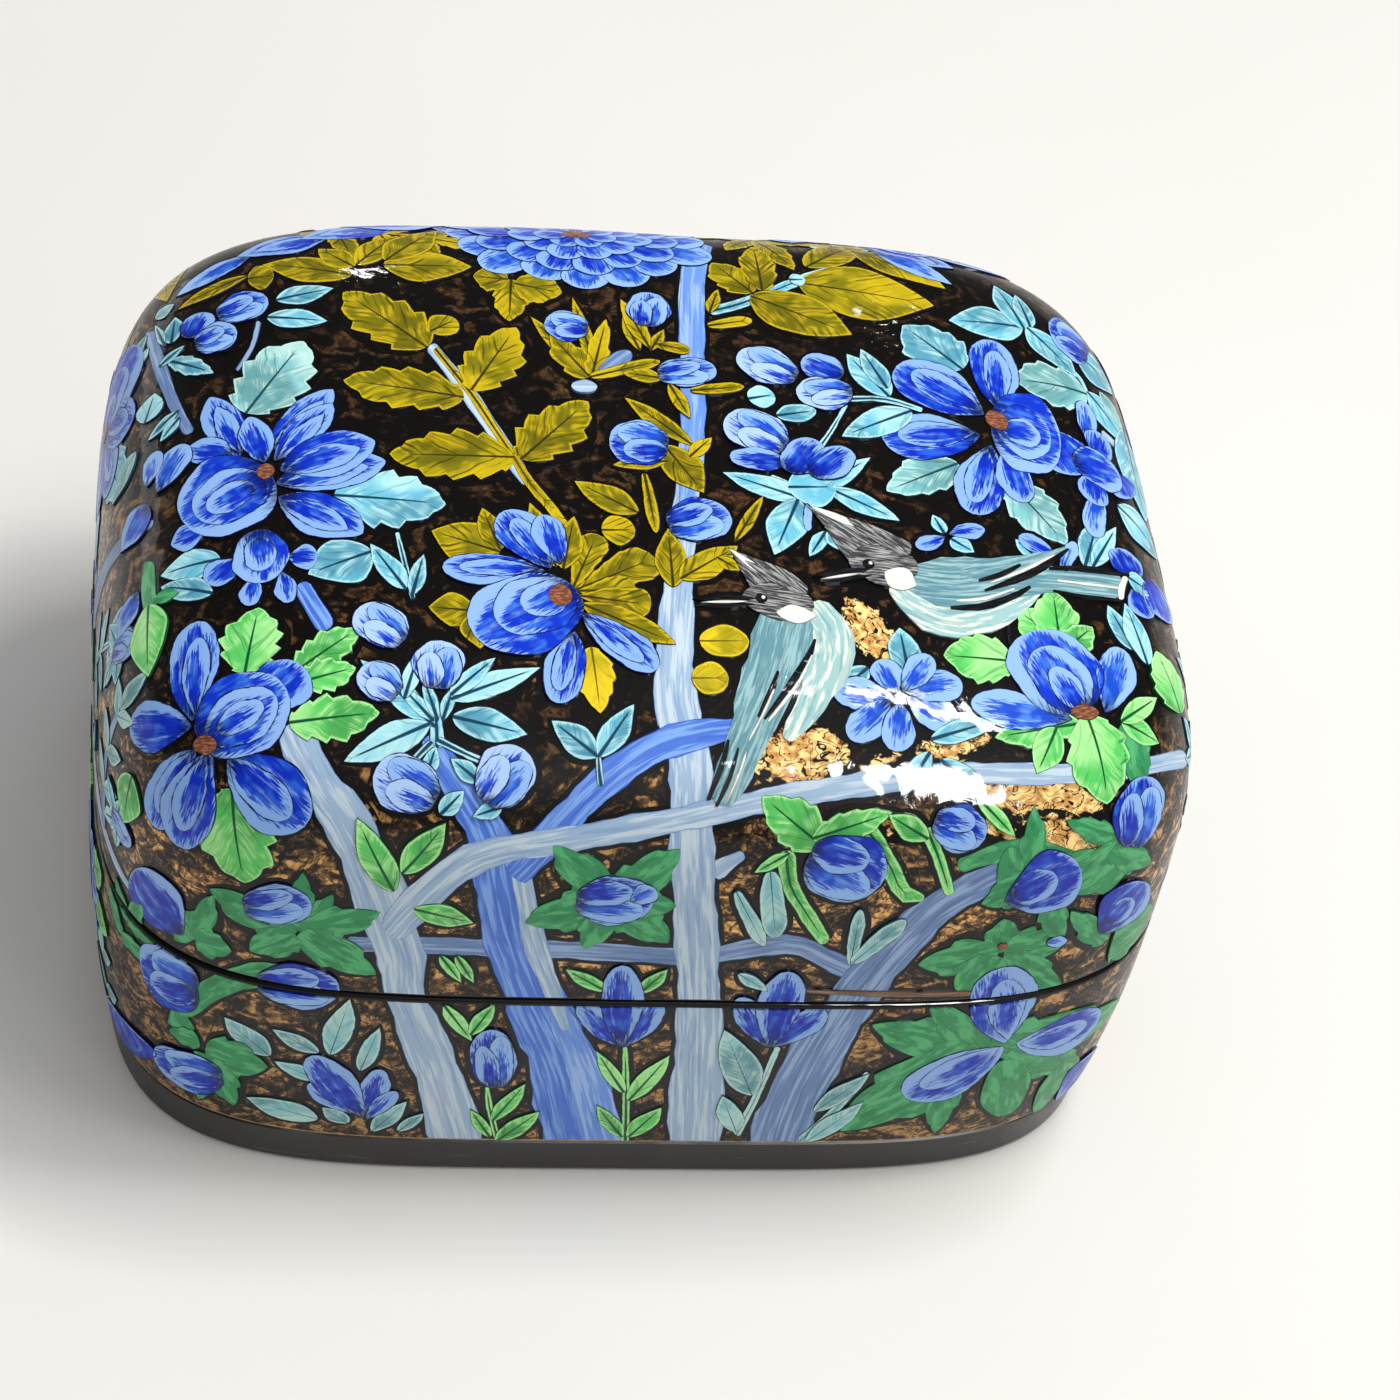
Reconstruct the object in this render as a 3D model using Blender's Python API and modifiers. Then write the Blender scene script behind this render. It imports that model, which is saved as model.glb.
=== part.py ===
# A hand moulded papier mache box with a lift-off lid, modelled in metres with +Z up.
# The origin is on the table under the middle of the box. The front faces -Y.
# Lid and body are two halves of one pillow shape, sawn apart at the seam. A card collar
# glued inside the body locates the lid, and a flat board closes the body underneath.

import math

import bpy

# Outside shape
LENGTH = 0.152  # left to right at the seam, the widest place
WIDTH = 0.121  # front to back at the seam
LID_HEIGHT = 0.0458  # seam to crown
BODY_HEIGHT = 0.0340  # seam to the underside of the moulded body
BOARD_HEIGHT = 0.0078  # the plain dark foot under the body
PLAN_POWER = 4.7  # how square the outline is seen from above: 2 is an ellipse
CROWN_POWER = 4.5  # how boxy the shoulder of the lid is
TUCK_POWER = 2.3  # how the body wall curves in below the seam
TUCK_REACH = 0.111  # depth below the seam at which that curve would meet the middle

# Walls
LID_WALL = 0.0032
BODY_WALL = 0.0036
FLOOR_THICKNESS = 0.0030
FLOOR_COVE = 0.0060  # radius where the inside wall meets the floor
CROWN_THICKNESS = 0.0034

# Locating collar
COLLAR_WALL = 0.0016
COLLAR_ABOVE = 0.0060  # how far it stands above the seam
COLLAR_BELOW = 0.0080  # how far it is glued down inside the body

# Edges and running gaps
SEAM_GAP = 0.0004  # between the two sawn rims when the box is shut
GLUE_LINE = 0.00035  # between glued faces
RIM_ROUND = 0.0007
FOOT_ROUND = 0.0008  # lower outside edge of the moulded body
COLLAR_ROUND = 0.0005
BOARD_INSET = 0.0004  # the board's top stands this far inside the body's lower edge
BOARD_TUCK = 0.0006  # how much further in its side leans on the way down
BOARD_ROUND = 0.0010
CUTTER_OVERRUN = 0.004

# Fineness of the meshes
OUTSIDE_SEGMENTS = 88
INSIDE_SEGMENTS = 64
CORNER_CROWDING = 0.62  # below 1, more of the segments go to the corners of the outline
DOME_ROWS = 14
WALL_ROWS = 6
ARC_ROWS = 3
MERGE = 0.00001

SEAM_Z = BOARD_HEIGHT + BODY_HEIGHT
HALF_LENGTH = LENGTH / 2
HALF_WIDTH = WIDTH / 2

PULP_COLOUR = (0.028, 0.017, 0.010, 1.0)
COLLAR_COLOUR = (0.016, 0.013, 0.011, 1.0)
BOARD_COLOUR = (0.020, 0.018, 0.018, 1.0)


def clear_scene():
    for old in list(bpy.data.objects):
        bpy.data.objects.remove(old, do_unlink=True)


def new_collection(name):
    made = bpy.data.collections.new(name)
    bpy.context.scene.collection.children.link(made)
    return made


def lacquer(name, colour, roughness):
    made = bpy.data.materials.new(name)
    made.use_nodes = True
    shader = made.node_tree.nodes["Principled BSDF"]
    shader.inputs["Base Color"].default_value = colour
    shader.inputs["Roughness"].default_value = roughness
    shader.inputs["Metallic"].default_value = 0.0
    return made


def outline_reach(angle, half_length, half_width):
    """Distance from the middle to the squared outline, along a ray at this angle."""
    across = abs(math.cos(angle) / half_length) ** PLAN_POWER
    along = abs(math.sin(angle) / half_width) ** PLAN_POWER
    return (across + along) ** (-1 / PLAN_POWER)


def crowded_angle(angle, half_length, half_width):
    """Moves an evenly spaced angle towards the nearest corner of the outline."""
    across = half_length * math.copysign(abs(math.cos(angle)) ** CORNER_CROWDING, math.cos(angle))
    along = half_width * math.copysign(abs(math.sin(angle)) ** CORNER_CROWDING, math.sin(angle))
    return math.atan2(along, across)


def tuck_share(depth):
    """How wide the body is this far below the seam, as a share of its width at the seam."""
    return (1 - (depth / TUCK_REACH) ** TUCK_POWER) ** (1 / TUCK_POWER)


def arc(centre_radius, centre_height, radius, start, end):
    """Points on a quarter round of the profile, with angles in degrees from +X."""
    points = []
    for row in range(ARC_ROWS + 1):
        turn = math.radians(start + (end - start) * row / ARC_ROWS)
        points.append((centre_radius + radius * math.cos(turn), centre_height + radius * math.sin(turn)))
    return points


def dome(half_length, height, lowest_turn):
    """Crown and shoulder of a dome, from the middle outwards and down."""
    points = [(0.0, height)]
    for row in range(1, DOME_ROWS + 1):
        turn = math.radians(90 - (90 - lowest_turn) * row / DOME_ROWS)
        share = math.cos(turn) ** (2 / CROWN_POWER)
        points.append((half_length * share, height * math.sin(turn) ** (2 / CROWN_POWER)))
    return points


def tucked_wall(half_length, top, bottom):
    """The side of the body from top to bottom, both as depths below the seam."""
    points = []
    for row in range(WALL_ROWS + 1):
        depth = top + (bottom - top) * row / WALL_ROWS
        points.append((half_length * tuck_share(max(depth, 0.0)), -depth))
    return points


def turned(name, profile, half_length, half_width, segments, material, collection):
    """Turns the profile about Z, then moves each ring from a circle to the squared outline."""
    mesh = bpy.data.meshes.new(name + "_profile")
    edges = [(i, i + 1) for i in range(len(profile) - 1)]
    mesh.from_pydata([(radius, 0.0, height) for radius, height in profile], edges, [])
    guide = bpy.data.objects.new(name + "_profile", mesh)
    collection.objects.link(guide)
    screw = guide.modifiers.new("Turn", "SCREW")
    screw.angle = 2 * math.pi
    screw.steps = segments
    screw.render_steps = segments
    screw.use_merge_vertices = True
    screw.merge_threshold = MERGE
    screw.use_smooth_shade = True
    bpy.context.view_layer.update()
    evaluated = guide.evaluated_get(bpy.context.evaluated_depsgraph_get())
    solid = bpy.data.meshes.new_from_object(evaluated)
    solid.name = name
    bpy.data.objects.remove(guide, do_unlink=True)
    for vertex in solid.vertices:
        share = math.hypot(vertex.co.x, vertex.co.y) / half_length
        angle = crowded_angle(math.atan2(vertex.co.y, vertex.co.x), half_length, half_width)
        reach = share * outline_reach(angle, half_length, half_width)
        vertex.co.x = reach * math.cos(angle)
        vertex.co.y = reach * math.sin(angle)
    solid.shade_smooth()
    solid.set_sharp_from_angle(angle=math.radians(35))
    solid.materials.clear()
    if material is not None:
        solid.materials.append(material)
    piece = bpy.data.objects.new(name, solid)
    collection.objects.link(piece)
    return piece


def as_cutter(piece):
    piece.hide_render = True
    piece.display_type = "WIRE"
    return piece


def hollowed(piece, cutter):
    cut = piece.modifiers.new("Hollow", "BOOLEAN")
    cut.operation = "DIFFERENCE"
    cut.solver = "EXACT"
    cut.object = cutter


def placed(pieces, height, parent):
    for piece in pieces:
        piece.location = (0.0, 0.0, height)
        piece.parent = parent


def carrier(name, collection):
    empty = bpy.data.objects.new(name, None)
    collection.objects.link(empty)
    return empty


def make_lid(parts, cutters, material, parent):
    rim = SEAM_GAP / 2
    outside = dome(HALF_LENGTH, LID_HEIGHT, 6.0)
    outside += [(HALF_LENGTH, rim + RIM_ROUND)]
    outside += arc(HALF_LENGTH - RIM_ROUND, rim + RIM_ROUND, RIM_ROUND, 0, -90)[1:]
    outside += [(0.0, rim)]
    shell = turned("lid_shell", outside, HALF_LENGTH, HALF_WIDTH, OUTSIDE_SEGMENTS, material, parts)

    inner_length = HALF_LENGTH - LID_WALL
    inner_width = HALF_WIDTH - LID_WALL
    inside = dome(inner_length, LID_HEIGHT - CROWN_THICKNESS, 6.0)
    inside += [(inner_length, -CUTTER_OVERRUN), (0.0, -CUTTER_OVERRUN)]
    cavity = turned("lid_cavity", inside, inner_length, inner_width, INSIDE_SEGMENTS, None, cutters)
    hollowed(shell, as_cutter(cavity))
    placed([shell, cavity], SEAM_Z, parent)


def make_body(parts, cutters, material, parent):
    rim = SEAM_GAP / 2
    lower = BODY_HEIGHT - FOOT_ROUND
    foot_radius = HALF_LENGTH * tuck_share(lower)
    outside = [(0.0, -rim)]
    outside += arc(HALF_LENGTH - RIM_ROUND, -rim - RIM_ROUND, RIM_ROUND, 90, 0)
    outside += tucked_wall(HALF_LENGTH, rim + RIM_ROUND, lower)[1:]
    outside += arc(foot_radius - FOOT_ROUND, -lower, FOOT_ROUND, 0, -90)[1:]
    outside += [(0.0, -BODY_HEIGHT)]
    shell = turned("body_shell", outside, HALF_LENGTH, HALF_WIDTH, OUTSIDE_SEGMENTS, material, parts)

    inner_length = HALF_LENGTH - BODY_WALL
    inner_width = HALF_WIDTH - BODY_WALL
    floor = BODY_HEIGHT - FLOOR_THICKNESS
    cove_top = floor - FLOOR_COVE
    cove_radius = inner_length * tuck_share(cove_top)
    inside = [(0.0, CUTTER_OVERRUN), (inner_length, CUTTER_OVERRUN)]
    inside += tucked_wall(inner_length, 0.0, cove_top)
    inside += arc(cove_radius - FLOOR_COVE, -cove_top, FLOOR_COVE, 0, -90)[1:]
    inside += [(0.0, -floor)]
    cavity = turned("body_cavity", inside, inner_length, inner_width, INSIDE_SEGMENTS, None, cutters)
    hollowed(shell, as_cutter(cavity))
    placed([shell, cavity], SEAM_Z, parent)


def make_collar(parts, cutters, material, parent):
    outer_length = HALF_LENGTH - BODY_WALL - GLUE_LINE
    outer_width = HALF_WIDTH - BODY_WALL - GLUE_LINE
    outside = [(0.0, COLLAR_ABOVE)]
    outside += arc(outer_length - COLLAR_ROUND, COLLAR_ABOVE - COLLAR_ROUND, COLLAR_ROUND, 90, 0)
    outside += [(outer_length, -COLLAR_BELOW), (0.0, -COLLAR_BELOW)]
    strip = turned("locating_collar", outside, outer_length, outer_width, INSIDE_SEGMENTS, material, parts)

    inner_length = outer_length - COLLAR_WALL
    inner_width = outer_width - COLLAR_WALL
    above = COLLAR_ABOVE + CUTTER_OVERRUN
    below = COLLAR_BELOW + CUTTER_OVERRUN
    inside = [(0.0, above), (inner_length, above), (inner_length, -below), (0.0, -below)]
    bore = turned("collar_bore", inside, inner_length, inner_width, INSIDE_SEGMENTS, None, cutters)
    hollowed(strip, as_cutter(bore))
    placed([strip, bore], SEAM_Z, parent)


def make_board(parts, material, parent):
    share = tuck_share(BODY_HEIGHT - FOOT_ROUND)
    board_length = HALF_LENGTH * share - BOARD_INSET
    board_width = HALF_WIDTH * share - BOARD_INSET
    top = BOARD_HEIGHT - GLUE_LINE
    foot_length = board_length - BOARD_TUCK
    edge = [(0.0, top), (board_length, top), (foot_length, BOARD_ROUND)]
    edge += arc(foot_length - BOARD_ROUND, BOARD_ROUND, BOARD_ROUND, 0, -90)[1:]
    edge += [(0.0, 0.0)]
    board = turned("bottom_board", edge, board_length, board_width, OUTSIDE_SEGMENTS, material, parts)
    placed([board], 0.0, parent)


def main():
    clear_scene()
    parts = new_collection("papier_mache_box")
    cutters = new_collection("box_cutters")
    pulp = lacquer("lacquered_pulp", PULP_COLOUR, 0.12)
    card = lacquer("lacquered_card", COLLAR_COLOUR, 0.25)
    board = lacquer("painted_board", BOARD_COLOUR, 0.45)
    box_base = carrier("box_base", parts)
    lid_lift = carrier("lid_lift", parts)
    make_lid(parts, cutters, pulp, lid_lift)
    make_body(parts, cutters, pulp, box_base)
    make_collar(parts, cutters, card, box_base)
    make_board(parts, board, box_base)
    bpy.context.view_layer.update()


main()
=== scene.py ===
import math

import bmesh
import bpy
import numpy as np
from mathutils import Matrix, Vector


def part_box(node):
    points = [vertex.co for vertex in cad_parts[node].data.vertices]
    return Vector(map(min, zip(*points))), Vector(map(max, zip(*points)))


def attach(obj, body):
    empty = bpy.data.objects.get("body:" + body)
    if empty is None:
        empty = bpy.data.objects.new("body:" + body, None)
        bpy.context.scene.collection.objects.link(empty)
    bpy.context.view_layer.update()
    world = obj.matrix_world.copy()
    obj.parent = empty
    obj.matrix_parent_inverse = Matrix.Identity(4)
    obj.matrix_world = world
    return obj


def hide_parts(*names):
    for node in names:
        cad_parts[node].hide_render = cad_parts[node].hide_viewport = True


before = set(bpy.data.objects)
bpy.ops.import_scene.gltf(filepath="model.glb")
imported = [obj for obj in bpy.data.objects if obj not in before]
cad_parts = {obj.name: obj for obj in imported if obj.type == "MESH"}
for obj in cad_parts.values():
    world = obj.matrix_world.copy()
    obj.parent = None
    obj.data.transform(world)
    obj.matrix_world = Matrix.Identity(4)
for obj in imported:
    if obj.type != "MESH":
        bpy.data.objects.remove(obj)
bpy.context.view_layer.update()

# A lacquered papier mache box. The painting is laid on the outside in thin raised strokes,
# each set on the moulded surface and cut where the lid parts from the body.
mm = 0.001

lidLow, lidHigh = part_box("lid_shell")
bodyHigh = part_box("body_shell")[1]
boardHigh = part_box("bottom_board")[1]

form = {
    "halfLength": lidHigh.x,
    "halfWidth": lidHigh.y,
    "seam": (lidLow.z + bodyHigh.z) / 2,
    "planPower": 4.7,  # how square the outline is from above, where 2 is an ellipse
    "crownPower": 4.5,  # how boxy the shoulder of the lid is
    "tuckPower": 2.3,  # how the body curves in below the seam
    "tuckReach": 111 * mm,
    "cornerCrowding": 0.62,  # below 1, more of the segments go to the corners
    "segments": 192,
}
form["rise"] = lidHigh.z - form["seam"]

# Where the photo was taken from, found from the outline of the box in it
eye = {
    "elevation": 46.4,
    "yaw": -13.6,
    "roll": 11.4,
    "distance": 0.6079,
    "aimRight": 0.0114,
    "aimUp": -0.0036,
    "aimHeight": 0.0420,
    "lens": 107.6,
    "sensor": 36.0,
    "picture": 1400,
}


def eyeAxes():
    high = math.radians(eye["elevation"])
    yaw = math.radians(eye["yaw"])
    roll = math.radians(eye["roll"])
    back = np.array([math.sin(yaw) * math.cos(high), -math.cos(yaw) * math.cos(high), math.sin(high)])
    level = np.array([math.cos(yaw), math.sin(yaw), 0.0])
    upright = np.cross(back, level)
    right = level * math.cos(roll) + upright * math.sin(roll)
    up = upright * math.cos(roll) - level * math.sin(roll)
    return right, up, back


def eyePlace():
    right, up, back = eyeAxes()
    aim = right * eye["aimRight"] + up * eye["aimUp"] + np.array([0, 0, eye["aimHeight"]])
    return back * eye["distance"] + aim


def makeCamera():
    right, up, back = eyeAxes()
    place = eyePlace()
    data = bpy.data.cameras.new("photo_camera")
    data.lens = eye["lens"]
    data.sensor_width = eye["sensor"]
    data.clip_start = 0.01
    data.clip_end = 20.0
    camera = bpy.data.objects.new("photo_camera", data)
    rows = [[right[i], up[i], back[i], place[i]] for i in range(3)]
    camera.matrix_world = Matrix(rows + [[0, 0, 0, 1]])
    bpy.context.scene.collection.objects.link(camera)
    bpy.context.scene.camera = camera
    print("camera placed")


# The moulded surface as a formula, below zero inside and above zero outside
def outside(points):
    plan = form["planPower"]
    x = np.abs(points[:, 0]) / form["halfLength"]
    y = np.abs(points[:, 1]) / form["halfWidth"]
    reach = np.maximum((x**plan + y**plan) ** (1 / plan), 1e-6)
    above = points[:, 2] >= form["seam"]
    drop = np.abs(points[:, 2] - form["seam"]) / np.where(above, form["rise"], form["tuckReach"])
    power = np.where(above, form["crownPower"], form["tuckPower"])
    level = reach**power + drop**power - 1
    pull = power * reach ** (power - plan)
    slopeX = pull * x ** (plan - 1) * np.sign(points[:, 0]) / form["halfLength"]
    slopeY = pull * y ** (plan - 1) * np.sign(points[:, 1]) / form["halfWidth"]
    slopeZ = power * drop ** (power - 1) * np.where(above, 1 / form["rise"], -1 / form["tuckReach"])
    return level, np.stack([slopeX, slopeY, slopeZ], axis=1)


def settle(points, rounds=5):
    points = np.array(points, float).reshape(-1, 3)
    for _ in range(rounds):
        level, slope = outside(points)
        points = points - slope * (level / np.maximum((slope**2).sum(axis=1), 1e-9))[:, None]
    slope = outside(points)[1]
    return points, slope / np.maximum(np.linalg.norm(slope, axis=1), 1e-9)[:, None]


# Where a ray from the eye through a point of the picture first meets the box
def seenAt(pixels):
    pixels = np.array(pixels, float).reshape(-1, 2)
    right, up, back = eyeAxes()
    place = eyePlace()
    half = eye["picture"] / 2
    focal = eye["picture"] * eye["lens"] / eye["sensor"]
    rays = right * (pixels[:, :1] - half) / focal + up * (half - pixels[:, 1:]) / focal - back
    rays = rays / np.linalg.norm(rays, axis=1)[:, None]
    boxReach = 0.115  # metres either way from the middle of the box
    steps = np.linspace(eye["distance"] - boxReach, eye["distance"] + boxReach, 116)
    marched = place + rays[:, None, :] * steps[None, :, None]
    level = outside(marched.reshape(-1, 3))[0].reshape(len(rays), -1)
    inside = level < 0
    first = np.where(inside.any(axis=1), inside.argmax(axis=1), level.argmin(axis=1))
    near = steps[np.maximum(first - 1, 0)]
    far = steps[first]
    halvings = 18
    for _ in range(halvings):
        middle = (near + far) / 2
        within = outside(place + rays * middle[:, None])[0] < 0
        far = np.where(within, middle, far)
        near = np.where(within, near, middle)
    return settle(place + rays * far[:, None])[0]


# Points on one side of the box: millimetres along it to the right as one faces it, and
# millimetres up the side from the seam, over the shoulder and onto the crown
def wallProfile():
    turns = np.linspace(0, np.pi / 2, 400)
    share = np.cos(turns) ** (2 / form["crownPower"])
    height = form["rise"] * np.sin(turns) ** (2 / form["crownPower"])
    return share, height


def onWall(points, side):
    points = np.array(points, float).reshape(-1, 2) * mm
    facing = {"back": (0, 1), "left": (-1, 0), "right": (1, 0)}[side]
    alongX = side == "back"
    deep = form["halfWidth"] if alongX else form["halfLength"]
    wide = form["halfLength"] if alongX else form["halfWidth"]
    share, height = wallProfile()
    travelled = np.concatenate([[0], np.cumsum(np.hypot(np.diff(share) * deep, np.diff(height)))])
    rising = points[:, 1]
    deepest = 40 * mm
    depth = np.clip(-rising, 0, deepest)
    tuck = (1 - (depth / form["tuckReach"]) ** form["tuckPower"]) ** (1 / form["tuckPower"])
    r = np.where(rising >= 0, np.interp(rising, travelled, share), tuck)
    z = np.where(rising >= 0, np.interp(rising, travelled, height), -depth)
    plan = form["planPower"]
    aside = np.clip(np.abs(points[:, 0]) / wide, 0, 0.999 * r)
    out = deep * (r**plan - aside**plan) ** (1 / plan)
    across = np.sign(points[:, 0]) * aside * wide
    # facing a side, its right hand is the facing direction turned a quarter back
    x = facing[0] * out - facing[1] * across
    y = facing[1] * out + facing[0] * across
    return settle(np.stack([x, y, form["seam"] + z], axis=1))[0]


# A colour given in steps of 0 to 255, as a picture has it
def tint(red, green, blue):
    def linear(value):
        share = value / 255
        return share / 12.92 if share <= 0.04045 else ((share + 0.055) / 1.055) ** 2.4
    return (linear(red), linear(green), linear(blue), 1.0)


def setSocket(socket, value):
    if isinstance(value, bpy.types.NodeSocket):
        socket.id_data.links.new(value, socket)
    else:
        socket.default_value = value


# A node in the tree that the given sockets belong to, with its first inputs set to them
def newNode(kind, *values):
    tree = next(value.id_data for value in values if isinstance(value, bpy.types.NodeSocket))
    node = tree.nodes.new(kind)
    for socket, value in zip(node.inputs, values):
        setSocket(socket, value)
    return node


def calc(operation, first, second=0.0):
    node = newNode("ShaderNodeMath", first, second)
    node.operation = operation
    return node.outputs[0]


def plus(first, second):
    return calc("ADD", first, second)


def minus(first, second):
    return calc("SUBTRACT", first, second)


def times(first, second):
    return calc("MULTIPLY", first, second)


def larger(first, second):
    return calc("MAXIMUM", first, second)


# How far a value is from a centre, which is the middle of its range if not given
def offCentre(value, centre=0.5):
    return calc("ABSOLUTE", minus(value, centre))


def between(value, low, high, outLow=0.0, outHigh=1.0):
    node = newNode("ShaderNodeMapRange", value, low, high, outLow, outHigh)
    node.interpolation_type = "SMOOTHSTEP"
    return node.outputs[0]


# One up to the low end, and falling to nothing at the high end
def fading(value, low, high):
    return between(value, low, high, 1.0, 0.0)


def mixed(share, first, second):
    node = newNode("ShaderNodeMix", share)
    node.data_type = "RGBA"
    setSocket(node.inputs[6], first)
    setSocket(node.inputs[7], second)
    return node.outputs[2]


def vectorCalc(operation, first, second):
    node = newNode("ShaderNodeVectorMath", first, second)
    node.operation = operation
    return node.outputs[0]


def noise(vector, scale, detail=2.0, roughness=0.5, distortion=0.0):
    node = newNode("ShaderNodeTexNoise", vector)
    node.inputs["Scale"].default_value = scale
    node.inputs["Detail"].default_value = detail
    node.inputs["Roughness"].default_value = roughness
    node.inputs["Distortion"].default_value = distortion
    return node.outputs["Fac"]


def packed(x, y, z=0.0):
    return newNode("ShaderNodeCombineXYZ", x, y, z).outputs[0]


# The three numbers of a vector
def unpacked(vector):
    return list(newNode("ShaderNodeSeparateXYZ", vector).outputs)


# A group's sockets are given as "kind: name, name; kind: name"
def newGroup(name, inputs, outputs):
    tree = bpy.data.node_groups.new(name, "ShaderNodeTree")
    kinds = {"colour": "NodeSocketColor", "value": "NodeSocketFloat", "vector": "NodeSocketVector"}
    for way, listed in (("INPUT", inputs), ("OUTPUT", outputs)):
        for part in listed.split("; "):
            kind, labels = part.split(": ")
            for label in labels.split(", "):
                tree.interface.new_socket(name=label, in_out=way, socket_type=kinds[kind])
    given = tree.nodes.new("NodeGroupInput").outputs
    return tree, given, tree.nodes.new("NodeGroupOutput").inputs


def groupNode(tree, group):
    node = tree.nodes.new("ShaderNodeGroup")
    node.node_tree = group
    return node


def useGroup(tree, group, **values):
    node = groupNode(tree, group)
    for label, value in values.items():
        setSocket(node.inputs[label], value)
    return node.outputs


# How wide and how long the streaks of a brush are, in millimetres
hairSizes = {
    "petalFine": (0.26, 2.6),
    "petalBroad": (0.75, 4.5),
    "leafFine": (0.36, 3.0),
    "leafBroad": (1.0, 4.0),
}


# Streaks that a brush leaves along a stroke. Along and Across are millimetres on the stroke.
def makeHairGroup():
    tree, given, out = newGroup(
        "brushHairs",
        "value: Across, Along, Fine, Long",
        "value: Hair")
    x = calc("DIVIDE", given["Across"], given["Fine"])
    y = calc("DIVIDE", given["Along"], given["Long"])
    streak = noise(packed(x, y), 1.0, 3.0, 0.55, 0.15)
    setSocket(out["Hair"], between(streak, 0.34, 0.66))
    return tree


def brushed(hairs, across, along, fine, long):
    return useGroup(across.id_data, hairs, Across=across, Along=along, Fine=fine, Long=long)["Hair"]


# The dark line round a stroke, of uneven width
def makeInkGroup():
    tree, given, out = newGroup(
        "inkLine",
        "value: Edge, Across, Along, Width",
        "value: Ink")
    shake = noise(packed(given["Across"], given["Along"]), 0.55, 2.0)
    width = times(given["Width"], between(shake, 0.3, 0.7, 0.35, 1.5))
    inner = times(width, 0.55)
    setSocket(out["Ink"], fading(given["Edge"], inner, width))
    return tree


def outlined(ink, given, across, along, colour, line):
    width = given["Ink Width"]
    drawn = useGroup(across.id_data, ink, Edge=given["Edge"], Across=across, Along=along, Width=width)
    return mixed(drawn["Ink"], colour, line)


# A petal: royal heart with brushed lines, pale rim inside a navy outline, pale contour, navy root
def makePetalGroup(hairs, ink):
    tree, given, out = newGroup(
        "petalPaint",
        "vector: Stroke, Lay; value: Edge; colour: Heart, Middle, Rim, Root, Line; "
        "value: Rim Width, Ink Width",
        "colour: Colour; value: Height")
    across, along, offMiddle = unpacked(given["Lay"])
    shareAcross, shareAlong = unpacked(given["Stroke"])[:2]
    fine = brushed(hairs, across, along, *hairSizes["petalFine"])
    broad = brushed(hairs, across, along, *hairSizes["petalBroad"])
    patch = between(noise(packed(across, along), 0.42, 1.0), 0.4, 0.62)
    colour = mixed(times(broad, patch), given["Heart"], given["Middle"])
    # the rim is widest at the tip, and its inner edge follows the hairs of the brush
    reach = times(given["Rim Width"], between(shareAlong, 0.2, 0.95, 0.5, 1.5))
    feather = times(minus(fine, 0.5), times(reach, 0.75))
    slow = noise(packed(across, along), 0.03, 0.0)
    lean = between(slow, 0.36, 0.64, -0.32, 0.32)
    depth = plus(given["Edge"], times(lean, offMiddle))
    depth = minus(depth, feather)
    rim = fading(depth, times(reach, 0.6), reach)
    colour = mixed(rim, colour, given["Rim"])
    # broken pale lines down the heart and midway to the edge
    side = times(offCentre(shareAcross), 2.0)
    middle = fading(side, 0.05, 0.16)
    contour = fading(offCentre(side), 0.03, 0.1)
    middle = times(middle, between(shareAlong, 0.35, 0.6, 0.0, 0.6))
    contour = times(contour, between(shareAlong, 0.2, 0.4))
    band = larger(middle, contour)
    band = times(band, between(fine, 0.3, 0.75, 0.15, 1.0))
    band = times(band, between(patch, 0.0, 1.0, 0.4, 1.0))
    colour = mixed(times(band, 0.85), colour, given["Rim"])
    root = between(plus(shareAlong, times(fine, 0.16)), 0.1, 0.38, 0.85, 0.0)
    colour = mixed(root, colour, given["Root"])
    setSocket(out["Colour"], outlined(ink, given, across, along, colour, given["Line"]))
    setSocket(out["Height"], plus(fine, rim))
    return tree


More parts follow.
